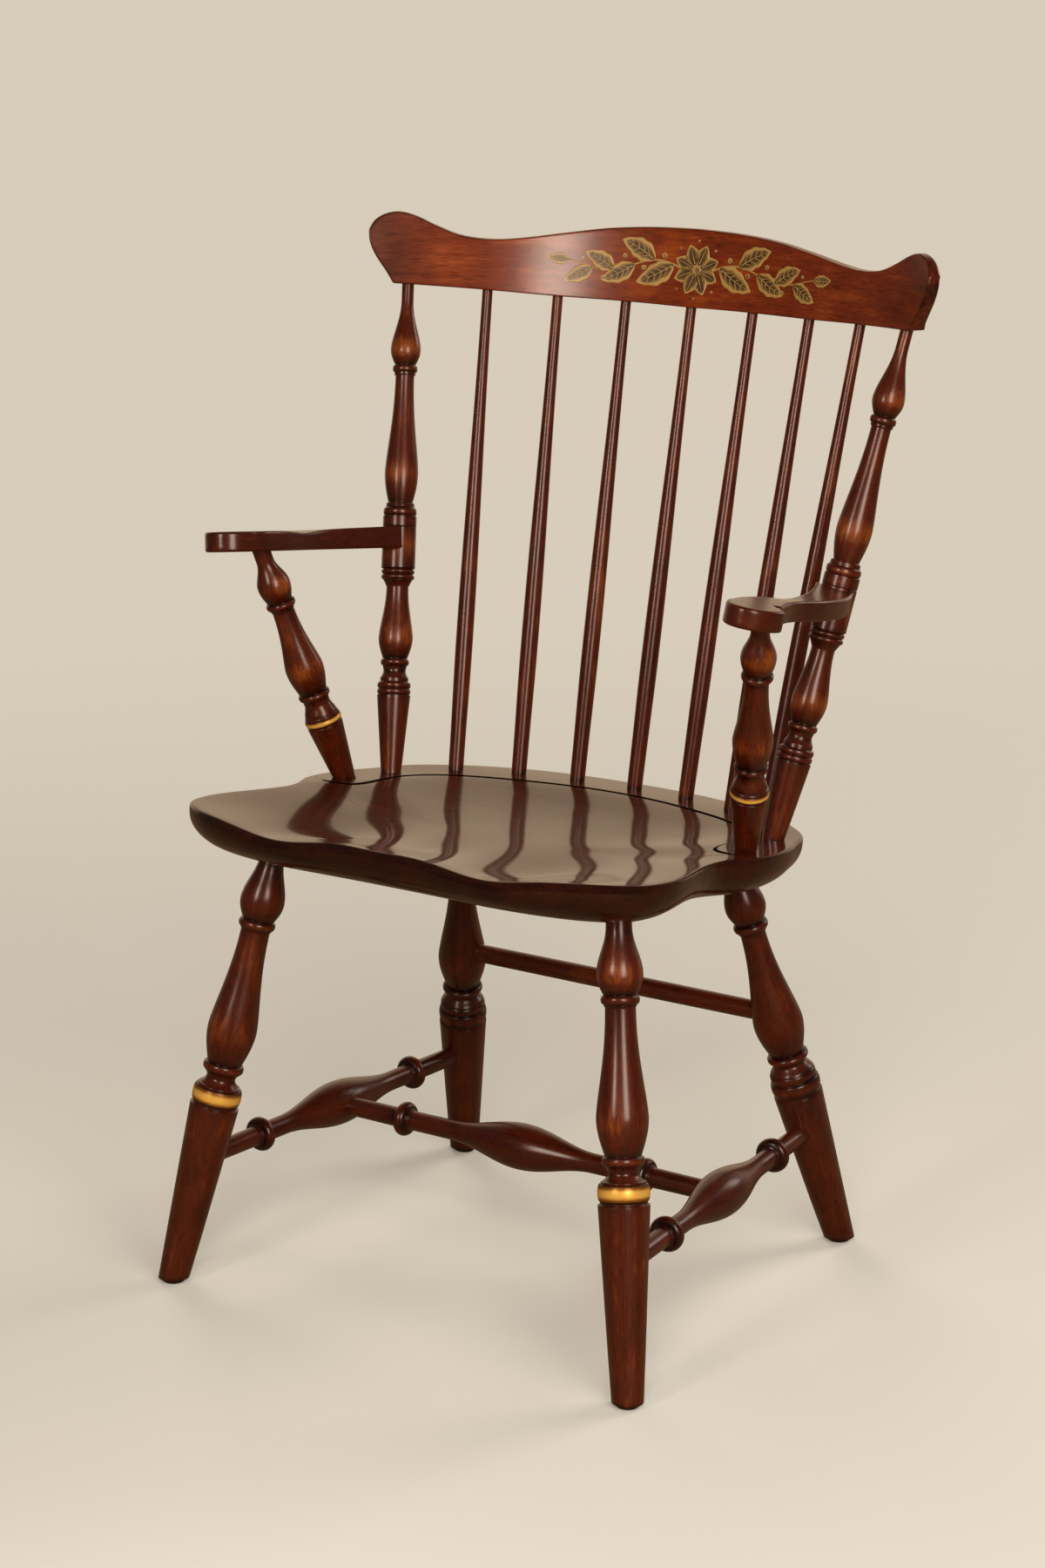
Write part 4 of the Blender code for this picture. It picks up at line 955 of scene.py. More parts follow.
def board(outline, spine, thickness, front_edge, back_edge):
    """Rows of a board with rounded edges: from the spine of its front, over the edge, to that of its back.

    The outline is inset along its normals; a tight corner gets a smaller rounding than the rest, which
    grows with the way from it. Returns the flat place and the depth of every point, in millimetres,
    and its share of the painted shade on the edge.
    """
    inward = left_normals(outline, closed=True)
    heading = np.unwrap(np.arctan2(inward[:, 1], inward[:, 0]))
    turn = (np.roll(heading, -1) - np.roll(heading, 1) + np.pi) % (2 * np.pi) - np.pi
    span = np.linalg.norm(np.roll(outline, -1, 0) - np.roll(outline, 1, 0), axis=1)
    least_turn, no_limit = 1e-4, 1e3
    radius = span / np.maximum(turn, least_turn)
    limit = np.where(turn > least_turn, EDGE_SHARE * radius, no_limit)
    walk = walked(np.vstack([outline, outline[:1]]))
    gap = np.abs(walk[:-1, None] - walk[None, :-1])
    limit = (limit + EDGE_GROWTH * np.minimum(gap, walk[-1] - gap)).min(1)
    front = np.minimum(front_edge, limit)[:, None]
    back = np.minimum(back_edge, limit)[:, None]
    flat, depth, painted_shade = [], [], []

    # share is how much painted shade the row takes
    def row(place, down, share=0.0):
        flat.append(place)
        depth.append(np.broadcast_to(down, (len(outline), 1))[:, 0])
        painted_shade.append(np.full(len(outline), share))

    # Over the front, round its edge, back along the thickness, round the other edge, and over the back
    inner = outline + inward * front
    for share in np.linspace(0, 1, 12) ** 0.8:
        row(spine + (inner - spine) * share, 0.0)
    for angle in np.radians(np.linspace(18, 90, 5)):
        row(outline + inward * front * (1 - math.sin(angle)), front * (1 - math.cos(angle)), 1.0)
    deep = thickness(outline)[:, None]
    for share in np.linspace(0.2, 1, 5):
        row(outline, front + (deep - back - front) * share, 0.8)
    for angle in np.radians(np.linspace(15, 90, 6)):
        row(outline + inward * back * (1 - math.cos(angle)), deep - back * (1 - math.sin(angle)), 0.8)
    inner = outline + inward * back
    for share in np.linspace(0.9, 0, 10):
        place = spine + (inner - spine) * share
        row(place, thickness(place)[:, None])
    return np.stack(flat), np.stack(depth), np.stack(painted_shade)


def on_crest(s, h, depth):
    """s along the bent front, h up the leaning face, depth back from the front, in metres in the frame."""
    turn = s / CREST_RADIUS
    radius = CREST_RADIUS + depth
    y = CREST_FRONT_Y - CREST_RADIUS + radius * np.cos(turn) + h * math.sin(CREST_LEAN) + BACKWARD
    return np.stack([radius * np.sin(turn), y, CREST_BASE_Z + h * math.cos(CREST_LEAN)], -1) * MM


def crest_edges():
    """The right half's lower and upper edge along the bent front, each from the middle to the tip."""
    lower, end, upper = [smooth_through(knots, 16) for knots in (CREST_LOWER, CREST_END, CREST_UPPER)]
    return np.vstack([lower, end[1:]]), upper


def bent_crest(material):
    """The crest board: its outline rounded over at the edges, thinner to the top, bent and leaned."""
    lower, upper = crest_edges()
    right = np.vstack([lower, upper[::-1][1:]])
    left = (right * (-1, 1))[::-1]
    outline = softened(np.vstack([right, left[1:-1]]), reach=0.9, closed=True)
    outline = thinned(outline, stride=4.0, turn_degrees=7.0, closed=True)
    s = np.clip(outline[:, 0], -CREST_SPINE_END, CREST_SPINE_END)
    s = CREST_SPINE_STEP * np.round(s / CREST_SPINE_STEP)
    middle = (np.interp(np.abs(s), *upper.T) + np.interp(np.abs(s), *lower.T)) / 2

    def thickness(place):
        return CREST_THICKNESS - CREST_TAPER * np.maximum(place[:, 1], 0)

    spine = np.stack([s, middle], 1)
    flat, depth, painted_shade = board(outline, spine, thickness, CREST_FRONT_EDGE, CREST_BACK_EDGE)
    verts = on_crest(flat[..., 0], flat[..., 1], depth).reshape(-1, 3)
    billet = np.stack([flat[..., 1], depth, flat[..., 0]], -1).reshape(-1, 3) * MM + CREST_BILLET
    ear = smooth_step(np.abs(flat[..., 0]), CREST_EAR_FROM, CREST_EAR_TO)
    # Painted shade on the edges, and darker out over the ears
    tone = (CREST_TONE - CREST_EDGE_SHADE * painted_shade - CREST_EAR_DARKENING * ear).ravel()
    faces = [grid_quads(len(flat), len(outline), True)]
    obj = new_piece("bent_crest", verts, faces, [material], billet, tone)
    merge_seams(obj)
    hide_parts("crest_rail")


def arm_outline(post):
    """The right arm's closed outline: paddle, slit, outer edge, cope round the post, inner edge."""
    turn = np.radians(np.linspace(-90, 90, 49))
    paddle = PADDLE_CENTRE + np.stack([PADDLE_HALF_WIDTH * np.sin(turn), -PADDLE_LENGTH * np.cos(turn)], 1)
    hook = smooth_through([paddle[-1], *ARM_HOOK, ARM_OUTER[0]], 10)[1:-1]
    outer = smooth_through(ARM_OUTER, 10)
    inner = smooth_through([paddle[0], *ARM_INNER], 10)[::-1]
    ends = [point - post for point in (outer[-1], inner[0] + HORN_TIP)]
    a, b = [math.atan2(v, u) for u, v in ends]
    sweep = np.linspace(a, b, 40)
    cope = post + (POST_RADIUS + COPE_GAP) * np.stack([np.cos(sweep), np.sin(sweep)], 1)
    outline = np.vstack([paddle, hook, outer[:-1], cope, inner[:-1]])
    return softened(outline, reach=0.7, closed=True)


def sawn_arm(side_name, side, material):
    """An arm: the flat outline rounded over at its edges, laid on the tilted plane of the board.

    The top is scooped along its inner edge, and rises there to the horn; both die out down the board.
    """
    low, high = axis_of(f"back_post_{side_name}")
    joint_z = (ARM_DATUM[2] - ARM_FALL * ARM_JOINT_Y - ARM_THICKNESS / 2) * MM
    at_joint = low + (high - low) * (joint_z - low[2]) / (high[2] - low[2])
    post = np.array([at_joint[0] * side / MM, at_joint[1] / MM - BACKWARD])
    outline = thinned(arm_outline(post), stride=3.0, turn_degrees=10.0, closed=True)
    inner, outer = [smooth_through([PADDLE_CENTRE + (reach, 0), *knots], 10)
                    for reach, knots in ((-PADDLE_HALF_WIDTH, ARM_INNER), (PADDLE_HALF_WIDTH, ARM_OUTER))]
    y = ARM_SPINE_STEP * np.round(np.clip(outline[:, 1], *ARM_SPINE_ENDS) / ARM_SPINE_STEP)
    left, right = [np.interp(y, edge[:, 1], edge[:, 0]) for edge in (inner, outer)]
    spine = np.stack([(left + right) / 2, y], 1)
    flat, depth, painted_shade = board(outline, spine, lambda place: np.full(len(place), float(ARM_THICKNESS)),
                               ARM_EDGE, ARM_EDGE)
    x, y = flat[..., 0], flat[..., 1]
    left, right = [np.interp(y, edge[:, 1], edge[:, 0]) for edge in (inner, outer)]
    inboard = np.clip((right - x) / (right - left), 0, 1)
    scoop = ARM_SCOOP * np.exp(-((y - ARM_SCOOP_Y) / ARM_SCOOP_WIDTH) ** 2)
    rise = ARM_HORN_RISE * np.clip((y - ARM_SCOOP_Y) / (ARM_INNER[-1][1] - ARM_SCOOP_Y), 0, 1)
    lift = (rise - scoop) * inboard * (1 - depth / ARM_THICKNESS)
    top = ARM_DATUM[2] - ARM_FALL * (y - ARM_DATUM[1]) - ARM_CANT * (x - ARM_DATUM[0])
    up = unit(np.array([ARM_CANT, ARM_FALL, 1.0]))
    place = np.stack([x, y, top], -1) + up * (lift - depth)[..., None]
    verts = ((place * (side, 1, 1) + (0, BACKWARD, 0)) * MM).reshape(-1, 3)
    billet = np.stack([x, depth, y], -1).reshape(-1, 3) * MM + ARM_BILLET * (side, 1, 1)
    # worn is the painted light across the front of the paddle; the edges take painted shade
    worn = np.exp(-((y - ARM_FRONT_LIGHT_Y) / ARM_FRONT_LIGHT_WIDTH) ** 2)
    tone = (ARM_TONE - ARM_EDGE_SHADE * painted_shade + ARM_FRONT_LIGHT * worn).ravel()
    faces = [grid_quads(len(flat), len(outline), True)]
    obj = new_piece(f"sawn_arm_{side_name}", verts, faces, [material], billet, tone)
    merge_seams(obj)
    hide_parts(f"arm_{side_name}")


def ribbon(path, first_half, last_half):
    """A flat strip along a path: three points across at each step, with its bright paint all over.

    Its half width runs evenly from the first to the last.
    """
    half = np.linspace(first_half, last_half, len(path))
    side = left_normals(path) * half[:, None]
    return np.stack([path + side, path, path - side], 1), np.full((len(path), 3), LINE_TONE)


def blade(base, heading, length, width, bend, notches=0.06):
    """A leaf blade: a bent midrib, and a half width that is a leaning sine with a faintly wavy margin.

    The shade is the bronze powder's cover: full at the margin, thin along the midrib.
    """
    t = np.linspace(0, 1, 37)
    ahead = np.array([math.cos(heading), math.sin(heading)])
    aside = np.array([-ahead[1], ahead[0]])
    midrib = base + length * (t[:, None] * ahead + bend * (t * t)[:, None] * aside)
    half = TIP + width * np.sin(np.pi * t ** 0.8).clip(0) ** 0.85 * (1 + notches * np.cos(t * 7 * np.pi))
    v = np.linspace(1, -1, 13)
    grid = midrib[:, None] + left_normals(midrib)[:, None] * (half[:, None] * v)[..., None]
    shade = np.clip(np.abs(v)[None, :] ** 1.7 + 0.9 * (t[:, None] - 0.8).clip(0) * 5, 0, 1)
    return (grid, shade), midrib, half


def blade_veins(midrib, half):
    """Thin strokes of bright bronze: the midrib, and side veins that lean forward from it."""
    count, step = len(midrib), 6
    normal = left_normals(midrib)
    t = np.linspace(0.05, 1, 9)
    strokes = [ribbon(midrib[2:-3], *MIDRIB_STROKE)]
    for start in range(step, count - 2 * step, step):
        for side in (-1, 1):
            out = side * half[start] * 0.72 * t[:, None] * normal[start]
            place = at_stops(start + step * t, np.arange(count), midrib)
            strokes.append(ribbon(place + out, *VEIN_STROKE))
    return strokes


def dot(centre, radius):
    """A round touch of paint, brightest towards its upper left.

    A square grid is pressed into a disc: x shrinks by the root of 1 - y^2/2, and y by that of 1 - x^2/2.
    """
    x, y = np.meshgrid(np.linspace(-1, 1, 9), np.linspace(-1, 1, 9), indexing="ij")
    disc = np.stack([x * np.sqrt(1 - y ** 2 / 2), y * np.sqrt(1 - x ** 2 / 2)], -1)
    angle = np.arctan2(disc[..., 1], disc[..., 0])
    shade = 0.35 + 0.5 * (disc ** 2).sum(-1) * (0.6 + 0.4 * np.cos(angle - 2.2))
    return centre + radius * disc, shade


def painted(name, patches, proud, material):
    """Bronze powder touches laid on the crest's front: each flat patch is wrapped on the bent face."""
    verts, faces, tone, flat = [], [], [], []
    count = 0
    for grid, shade in patches:
        rows, columns = grid.shape[:2]
        quads = grid_quads(rows, columns, False) + count
        first, second = grid[1, 0] - grid[0, 0], grid[0, 1] - grid[0, 0]
        if second[0] * first[1] - second[1] * first[0] < 0:
            quads = quads[:, ::-1]
        faces.append(quads)
        verts.append(on_crest(grid[..., 0], grid[..., 1], np.full((rows, columns), -proud)).reshape(-1, 3))
        flat.append(np.column_stack([grid.reshape(-1, 2), np.zeros(rows * columns)]) * MM)
        tone.append(shade.ravel())
        count += rows * columns
    obj = new_piece(name, np.vstack(verts), [np.vstack(faces)], [material], np.vstack(flat),
                    np.concatenate(tone), closed=False)
    wall = obj.modifiers.new("film", 'SOLIDIFY')
    wall.thickness = PAINT_FILM * MM
    wall.offset = -1


def painted_crest(material):
    """Two sprays of slender leaves along wavy stems, either side of a rosette with a dot border."""
    leaves, veins, touches, stems = [], [], [], []
    for side, reach in STEM_REACH.items():
        outwards = 0.0 if side > 0 else math.pi
        along = np.linspace(0, 1, STEM_POINTS)
        wave = STEM_WAVE * np.sin(along * STEM_HALF_WAVES * np.pi) * (1 - STEM_WAVE_FADE * along)
        stem = SPRAY_CENTRE + (side * STEM_START, 0) + np.stack([side * reach * along, wave], 1)
        stems.append(ribbon(stem, *STEM_STROKE))
        for number, place in enumerate(LEAF_PLACES):
            base = stem[int(place * (STEM_POINTS - 1))]
            up = 1 if number % 2 else -1
            length = LEAF_LENGTH - LEAF_LENGTH_STEP * number
            width = LEAF_WIDTH - LEAF_WIDTH_STEP * number
            heading = outwards + side * up * LEAF_LEAN
            leaf, midrib, half = blade(base, heading, length, width, -LEAF_BEND * side * up)
            leaves.append(leaf)
            veins += blade_veins(midrib, half)
            touches.append(dot(base + BERRY_PLACE * (side, up), BERRY_RADIUS - BERRY_RADIUS_STEP * number))
        leaf, midrib, half = blade(stem[-1], outwards, END_LEAF_LENGTH, END_LEAF_WIDTH, END_LEAF_BEND * side)
        leaves.append(leaf)
        veins += blade_veins(midrib, half)
    for petal in range(PETALS):
        heading = (petal + 0.5) * 2 * math.pi / PETALS
        base = SPRAY_CENTRE + PETAL_START * np.array([math.cos(heading), math.sin(heading)])
        leaf, midrib, half = blade(base, heading, PETAL_LENGTH, PETAL_WIDTH, bend=0.0, notches=0.0)
        leaves.append(leaf)
        veins.append(ribbon(midrib[3:-6], *PETAL_STROKE))
        between = heading + BORDER_TURN
        border = SPRAY_CENTRE + BORDER_RADIUS * np.array([math.cos(between), math.sin(between)])
        touches.append(dot(border, BORDER_DOT))
    touches.append(dot(SPRAY_CENTRE, ROSETTE_MIDDLE))
    painted("painted_stems", stems, STEM_COAT, material)
    painted("painted_leaves", leaves, LEAF_COAT, material)
    painted("painted_touches", touches, TOUCH_COAT, material)
    painted("painted_veins", veins, VEIN_COAT, material)


def front_leg_turning(length):
    """Tapered foot, groove, gilded torus, cove, ring, vase, ring, small vase and tenon."""
    t = Turning(22).line(0.6, 20).line(2, 20)
    t.bead(15, 22, gilt=True)
    t.line(0.3, 18.6).bead(1.6, 19.2)
    t.line(0.3, 17.2).cove(12.6, 12.9, 16.4)
    t.bead(7.5, 18.2)
    t.line(0.4, 15.4)
    t.swell(31.5, 22).ease(92, 12.9, NECK)
    t.line(0.5, 13.8).line(1.5, 13.8).bead(8, 16.4)
    t.line(0.6, 14.4)
    # The small vase carries painted light and shade, and the fade is painted shade up the neck under the seat
    t.swell(16, 19.6).ease(40, 11).fade(30).line(FRONT_LEG_NECK + LEG_TENON, 11)
    return t.on_foot(length, FOOT_RADIUS)


def rear_leg_turning(length):
    """Tapered foot, groove, fat bead, thin bead, shoulder, ring, vase, ring, small vase and tenon."""
    t = Turning(22.4).line(0.6, 20.8).line(2.6, 20.8)
    # A darker body than the front legs': painted shade, as the rear legs stand in the seat's shade
    t.body = 0.38
    t.bead(12, 22.7)
    t.line(0.4, 19.8).line(0.5, 19.8).bead(7, 21)
    t.ease(9, 14.2).line(2, 14.4)
    t.bead(8, 18.9)
    t.line(0.4, 15.4)
    t.swell(31, 22.6).ease(92, 11.4, NECK)
    t.line(0.5, 12.8).line(2, 12.8).bead(8, 15.8)
    t.line(0.6, 13.4)
    # The small vase carries painted light and shade, and the fade is painted shade up the neck under the seat
    t.swell(15, 18.4).ease(34, 11).fade(26).line(REAR_LEG_NECK + LEG_TENON, 11)
    return t.on_foot(length, FOOT_RADIUS)


def stretcher_turning(length, ring_place, bulb_radius):
    """Rod, ring between small fillets, bulb, ring, rod, the same both ways from the middle."""
    ring, bulb, rod, rod_end, fillet = 12, 76, 9, 8.6, 10.2
    end_rod = length / 2 - ring_place - ring / 2
    inner_rod = ring_place - ring / 2 - bulb
    t = Turning(rod_end).line(end_rod - 2, rod).line(0.4, fillet).line(1.6, fillet)
    # A darker body: painted shade under the seat
    t.body = 0.31
    t.bead(ring, STRETCHER_RING).line(1.6, fillet).line(0.4, rod)
    t.line(inner_rod - 2, rod).ease(bulb, bulb_radius)
    t.ease(bulb, rod).line(inner_rod - 2, rod)
    t.line(0.4, fillet).line(1.6, fillet).bead(ring, STRETCHER_RING)
    return t.line(1.6, fillet).line(0.4, rod).line(end_rod - 2, rod_end)


def side_stretcher_turning(length):
    """The stretcher between a front and a rear leg."""
    return stretcher_turning(length, 106, 20.3)


def medial_stretcher_turning(length):
    """The stretcher between the two side stretchers."""
    return stretcher_turning(length, 129, 21)


def rear_stretcher_turning(length):
    """A rod that is a little thicker in the middle."""
    return Turning(8.6).line(length / 2, 9).line(length / 2, 8.6)


def arm_post_turning(length):
    """Tenon, tapered foot, gilded band, thin bead, shoulder, ring, vase, ring, small vase, tenon."""
    t = Turning(9.8).line(SEAT_TENON, 9.8).line(55.5, 16.5)
    # A darker body, and stronger painted light over the bellies
    t.body, t.glow, t.glow_reach = 0.39, 0.2, 11
    t.line(0.4, 15.5).line(1.6, 15.5).bead(6, 17, gilt=True)
    t.line(0.3, 15.4).bead(1.8, 16)
    t.line(0.3, 15).ease(11.8, 11.8).line(4.6, 12.2).bead(6.2, 14.6)
    t.line(0.4, 12.8)
    t.swell(24, 17.4).ease(57.5, 10.1, 0.68)
    t.line(0.5, 11).line(2, 11).bead(6.5, 13.6)
    t.line(0.4, 11.4)
    t.swell(15, 15.1).ease(24, 8)
    return t.line(length - t.length(), 8)


def back_post_turning(length):
    """Tenon, tapered foot, two beads, cove, ring, vase, ring, drum, groove, bead, vase, ring, small vase."""
    t = Turning(9.5).line(SEAT_TENON, 9.5).line(70.5, 15.4)
    # Stronger painted light over the bellies
    t.glow, t.glow_reach = 0.2, 11
    t.line(0.5, 14)
    t.bead(5.7, 15.4).bead(5.7, 15.4)
    t.line(0.4, 13).line(3.6, 13)
    t.cove(11.5, 10.4, 11.4)
    t.bead(6, 13.1)
    t.line(0.4, 11.2)
    t.swell(19.5, 15.8).ease(47, 10.2, 0.8)
    t.line(5, 12.6).line(0.5, 13.2).line(1, 13.2)
    t.bead(5, 15.3).bead(5, 15.3)
    t.line(0.6, POST_RADIUS).line(38, POST_RADIUS)
    # Painted light over the drum
    t.bellies.append(t.length() - 16)
    t.score(0.8, 0.7).line(9.5, POST_RADIUS)
    t.line(0.5, 14).bead(7, 15.4)
    t.line(0.4, 13.3).line(4, 13).line(0.5, 11.2)
    t.swell(28, 15.6).ease(90, 8.7, NECK)
    t.line(0.5, 9.8).line(2.5, 9.8).bead(6.5, 11.5)
    t.line(0.4, 9.4)
    t.swell(14, 14).ease(46, 5.6, 0.85)
    return t.line(length - t.length(), 5.6)


def spindle_turning(length):
    """Tenon, slow swell, and a long taper to the crest."""
    t = Turning(7.0).line(SEAT_TENON, 7.0).ease(120, 7.9)
    return t.ease(length - t.length() - CREST_TENON, 4.8).line(CREST_TENON, 4.8)


def glide_turning():
    """A domed disc under the foot and its nail."""
    return Turning(9.2).ease(1.2, 10.4).line(2.8, 10.4).line(0.2, 1.3).line(10, 1.3).line(2, 0.5)


def flush_plug(side_name, material):
    """A short dowel whose outer end is pared nearly flush with the post's round.

    The dowel lies on the arm screw's line. With q the way from the post's axis and d the dowel's
    direction, both square to the axis, the ray stops at the larger t with |q + t d| = R.
    """
    node = f"arm_plug_{side_name}"
    low, high = axis_of(f"back_post_{side_name}")
    axis = unit(high - low)
    points = points_of(node)
    middle = (points.min(0) + points.max(0)) / 2
    head, tip = sorted(axis_of(f"arm_screw_{side_name}"), key=lambda end: np.linalg.norm(end - middle))
    along = unit(head - tip)
    inner = middle + along * ((points - middle) @ along).min()
    across = unit(np.cross(along, axis))
    upward = np.cross(across, along)
    angle = np.linspace(0, 2 * np.pi, SLIM_SIDES, endpoint=False)
    ring = np.cos(angle)[:, None] * across + np.sin(angle)[:, None] * upward
    grid = inner + PLUG_RADIUS * MM * np.array(PLUG_RINGS)[:, None, None] * ring

    def square(v):
        return v - (v @ axis)[..., None] * axis

    q, d = square(grid - low), square(along)
    proud = (POST_RADIUS + PLUG_PROUD * np.array(PLUG_ROUND)[:, None]) * MM
    half = (q * d).sum(-1)
    reach = (-half + np.sqrt(half ** 2 - (d @ d) * ((q * q).sum(-1) - proud ** 2))) / (d @ d)
    grid = np.concatenate([grid + reach[..., None] * along, grid[-1:]])
    verts = np.vstack([grid.reshape(-1, 3), grid[0].mean(0), grid[-1].mean(0)])
    obj = new_piece(f"cut_{node}", verts, closed_grid(len(grid), SLIM_SIDES), [material],
                    verts + PLUG_BILLET, np.full(len(verts), PLUG_TONE))
    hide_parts(node)


def deck_gap(points):
    """Height of points above the deck, in metres."""
    y = points[:, 1] / MM - BACKWARD
    return points[:, 2] - (SEAT_HEIGHT - SEAT_FALL * y + deck_rise(y)) * MM


def floor_paint(name):
    """Matt studio paint: pale to the eye, with the chair's shadow near it, fading into the backdrop.

    The light and the gloss that it throws back on the chair are those of a plain brown floor.
    """
    material, tree = bare_material(name)
    place = add(tree, "ShaderNodeTexCoord").outputs["Object"]
    radius = add(tree, "ShaderNodeVectorMath", {0: place}, operation='LENGTH').outputs["Value"]
    far = add(tree, "ShaderNodeMapRange", {"Value": radius, "From Min": FADE_FROM, "From Max": FADE_TO},
              interpolation_type='SMOOTHSTEP').outputs["Result"]
    near = add(tree, "ShaderNodeBsdfPrincipled", {
        "Base Color": linear("#C7C5BF"), "Roughness": 0.9,
        "Emission Color": linear(BACKDROP), "Emission Strength": 0.18}).outputs["BSDF"]
    flat = add(tree, "ShaderNodeEmission", {"Color": linear(BACKDROP)}).outputs["Emission"]
    seen = add(tree, "ShaderNodeMixShader", {0: far, 1: near, 2: flat}).outputs["Shader"]
    brown = add(tree, "ShaderNodeBsdfPrincipled", {"Base Color": linear("#6E5842"),
                                                   "Roughness": 0.8}).outputs["BSDF"]
    to_camera = add(tree, "ShaderNodeLightPath").outputs["Is Camera Ray"]
    mix = add(tree, "ShaderNodeMixShader", {0: to_camera, 1: brown, 2: seen}).outputs["Shader"]
    add(tree, "ShaderNodeOutputMaterial", {"Surface": mix})
    return material


def round_floor(material):
    """A flat disc: the fan of a ring round the middle."""
    angle = np.linspace(0, 2 * np.pi, FLOOR_SIDES, endpoint=False)
    ring = FLOOR_RADIUS * np.stack([np.cos(angle), np.sin(angle), np.zeros(len(angle))], 1)
    first = np.arange(len(angle))
    fan = np.stack([np.full(len(angle), len(angle)), first, np.roll(first, -1)], 1)
    mesh = bpy.data.meshes.new("round_floor")
    mesh.from_pydata(np.vstack([ring, (0, 0, 0)]).tolist(), [], fan.tolist())
    mesh.materials.append(material)
    obj = bpy.data.objects.new("round_floor", mesh)
    bpy.context.scene.collection.objects.link(obj)


def studio_world(name, behind):
    """A dim studio: the eye sees an even pale backdrop, and the gloss sees it, warmer, behind the chair."""
    world = bpy.data.worlds.new(name)
    world.use_nodes = True
    tree = world.node_tree
    tree.nodes.clear()
    heading = add(tree, "ShaderNodeTexCoord").outputs["Generated"]
    depth = add(tree, "ShaderNodeVectorMath", {0: heading, 1: behind}, operation='DOT_PRODUCT')
    back = add(tree, "ShaderNodeMapRange", {"Value": depth.outputs["Value"], "From Min": BEHIND_FROM,
                                            "From Max": BEHIND_TO}).outputs["Result"]
    ray = add(tree, "ShaderNodeLightPath").outputs
    glossy = add(tree, "ShaderNodeMath", {0: ray["Is Glossy Ray"], 1: back}, operation='MULTIPLY').outputs[0]
    dim, warm, pale = [
        add(tree, "ShaderNodeBackground", {"Color": linear(code), "Strength": strength}).outputs["Background"]
        for code, strength in (("#F2EEE8", 0.07), ("#D0B698", 1.0), (BACKDROP, 1.0))]
    mix = add(tree, "ShaderNodeMixShader", {0: glossy, 1: dim, 2: warm}).outputs["Shader"]
    mix = add(tree, "ShaderNodeMixShader", {0: ray["Is Camera Ray"], 1: mix, 2: pale}).outputs["Shader"]
    add(tree, "ShaderNodeOutputWorld", {"Surface": mix})
    bpy.context.scene.world = world


def soft_box(name, place, size, power, unlit=None):
    """A rectangular lamp that faces the chair: place and size in metres, power in watts.

    A large one gives even light and no mirror image. A slim one, which has a collection of unlit
    pieces, is what the gloss of the other pieces mirrors.
    """
    light = bpy.data.lights.new(name, 'AREA')
    light.shape = 'RECTANGLE'
    light.size, light.size_y = size
    light.energy = power
    light.color = linear(LAMP_COLOUR)[:3]
    obj = bpy.data.objects.new(name, light)
    obj.location = place
    obj.rotation_euler = (Vector(LAMP_TARGET) - Vector(place)).to_track_quat('-Z', 'Y').to_euler()
    obj.visible_camera = False
    obj.visible_glossy = unlit is not None
    obj.light_linking.receiver_collection = unlit
    bpy.context.scene.collection.objects.link(obj)


def unlit_collection(name, pieces):
    """The pieces that a lamp leaves out."""
    collection = bpy.data.collections.new(name)
    for piece in pieces:
        collection.objects.link(piece)
    for member in collection.collection_objects:
        member.light_linking.link_state = 'EXCLUDE'
    return collection


# How far the chair's own origin lies back from the frame's
BACKWARD = axis_of("medial_stretcher")[0][1] / MM - MEDIAL_STRETCHER_Y

hardwood = lacquered_wood("stained lacquered maple", ("#120402", "#4E1A08", "#A5561E"), 0.24)
plank = lacquered_wood("stained lacquered seat plank", ("#140502", "#451808", "#7A3716"), 0.09,
                       figure_mm=9, sheen="#E89A5C", sheen_level=0.1)
crest_wood = lacquered_wood("stained lacquered crest", ("#1A0703", "#722A0D", "#B45A20"), 0.2,
                            figure_mm=5, pore_mm=0.8)
arm_wood = lacquered_wood("stained lacquered arm", ("#140502", "#431607", "#843A14"), 0.22)
gutter_shade = painted_groove_shade("gutter painted shade")
stencil_bronze = stencil_paint("stencilled bronze powder")
gold = bronze_paint("bronze powder paint")
black = dark_lacquered_steel("dark lacquered steel")
zinc = zinc_steel("zinc plated steel")

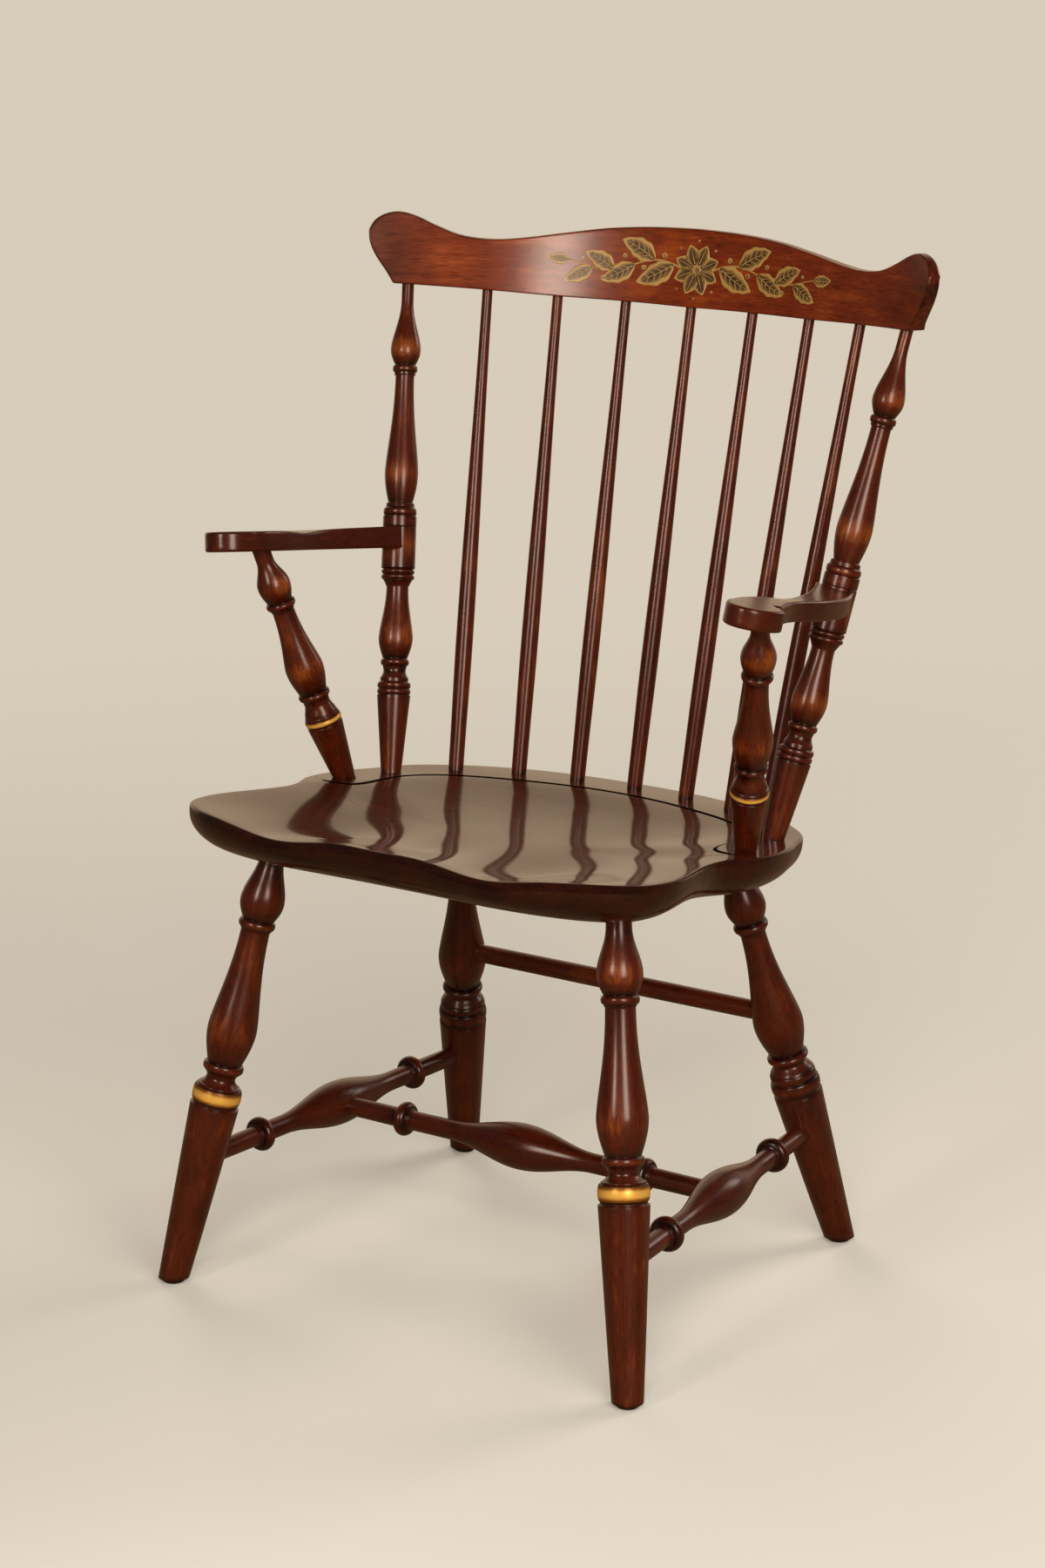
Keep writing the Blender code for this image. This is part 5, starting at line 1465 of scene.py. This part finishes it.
seat = carved_seat(plank, gutter_shade)
bent_crest(crest_wood)
painted_crest(stencil_bronze)
for side_name, side in SIDES:
    sawn_arm(side_name, side, arm_wood)
    for place, turning_of in (("front", front_leg_turning), ("rear", rear_leg_turning)):
        node = f"leg_{place}_{side_name}"
        low, top = axis_of(node, sawn_level=True)
        along = unit(top - low)
        foot = low - along * low[2] / along[2]
        turning = turning_of(np.linalg.norm(top - foot) / MM)
        turned_piece(f"turned_{node}", node, turning, foot, top, FINE_SIDES, [hardwood, gold],
                     sawn=low[2])
        node = f"glide_{place}_{side_name}"
        low, top = axis_of(node)
        turned_piece(f"pressed_{node}", node, glide_turning(), low, top, SLIM_SIDES, [black])
    turned_stick(f"arm_post_{side_name}", arm_post_turning, FINE_SIDES, [hardwood, gold], deck_gap)
    turned_stick(f"back_post_{side_name}", back_post_turning, FINE_SIDES, [hardwood, gold], deck_gap)
    turned_stick(f"side_stretcher_{side_name}", side_stretcher_turning, STRETCHER_SIDES, [hardwood])
    flush_plug(side_name, hardwood)
    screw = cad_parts[f"arm_screw_{side_name}"]
    screw.data.materials.clear()
    screw.data.materials.append(zinc)
turned_stick("medial_stretcher", medial_stretcher_turning, STRETCHER_SIDES, [hardwood])
turned_stick("rear_stretcher", rear_stretcher_turning, SLIM_SIDES, [hardwood])
for number in range(1, 8):
    turned_stick(f"spindle_{number}", spindle_turning, SLIM_SIDES, [hardwood], deck_gap)

azimuth = math.radians(CAMERA_AZIMUTH)
round_floor(floor_paint("matt studio paint"))
studio_world("studio", (-math.sin(azimuth), math.cos(azimuth), 0.0))
unlit = unlit_collection("level seat, where a lamp's image would glare", [seat])
soft_box("front_lamp", (1.5, -2.65, 2.0), (1.3, 1.7), 70)
soft_box("front_strip", (-0.2, -2.75, 1.5), (0.45, 1.0), 20, unlit)
soft_box("side_lamp", (2.7, -0.9, 1.9), (1.2, 1.6), 22)
soft_box("side_strip", (2.1, -1.65, 1.4), (0.9, 1.4), 32, unlit)
soft_box("back_lamp", (1.4, 2.8, 2.25), (1.8, 1.8), 60)
soft_box("back_strip", (1.3, 2.6, 1.7), (0.8, 1.2), 8, unlit)
soft_box("left_lamp", (-2.3, 1.5, 2.2), (1.6, 1.6), 36)

camera = bpy.data.cameras.new("camera")
camera.sensor_fit = 'VERTICAL'
camera.sensor_height = SENSOR_HEIGHT
camera.lens = FOCAL_PIXELS / PHOTO_HEIGHT * SENSOR_HEIGHT
camera_object = bpy.data.objects.new("camera", camera)
camera_object.location = (CAMERA_PLACE[0], CAMERA_PLACE[1] + BACKWARD * MM, CAMERA_PLACE[2])
camera_object.rotation_euler = (math.radians(90 - CAMERA_PITCH), math.radians(CAMERA_ROLL), azimuth)
bpy.context.scene.collection.objects.link(camera_object)
bpy.context.scene.camera = camera_object
bpy.context.scene.view_settings.view_transform = 'Standard'
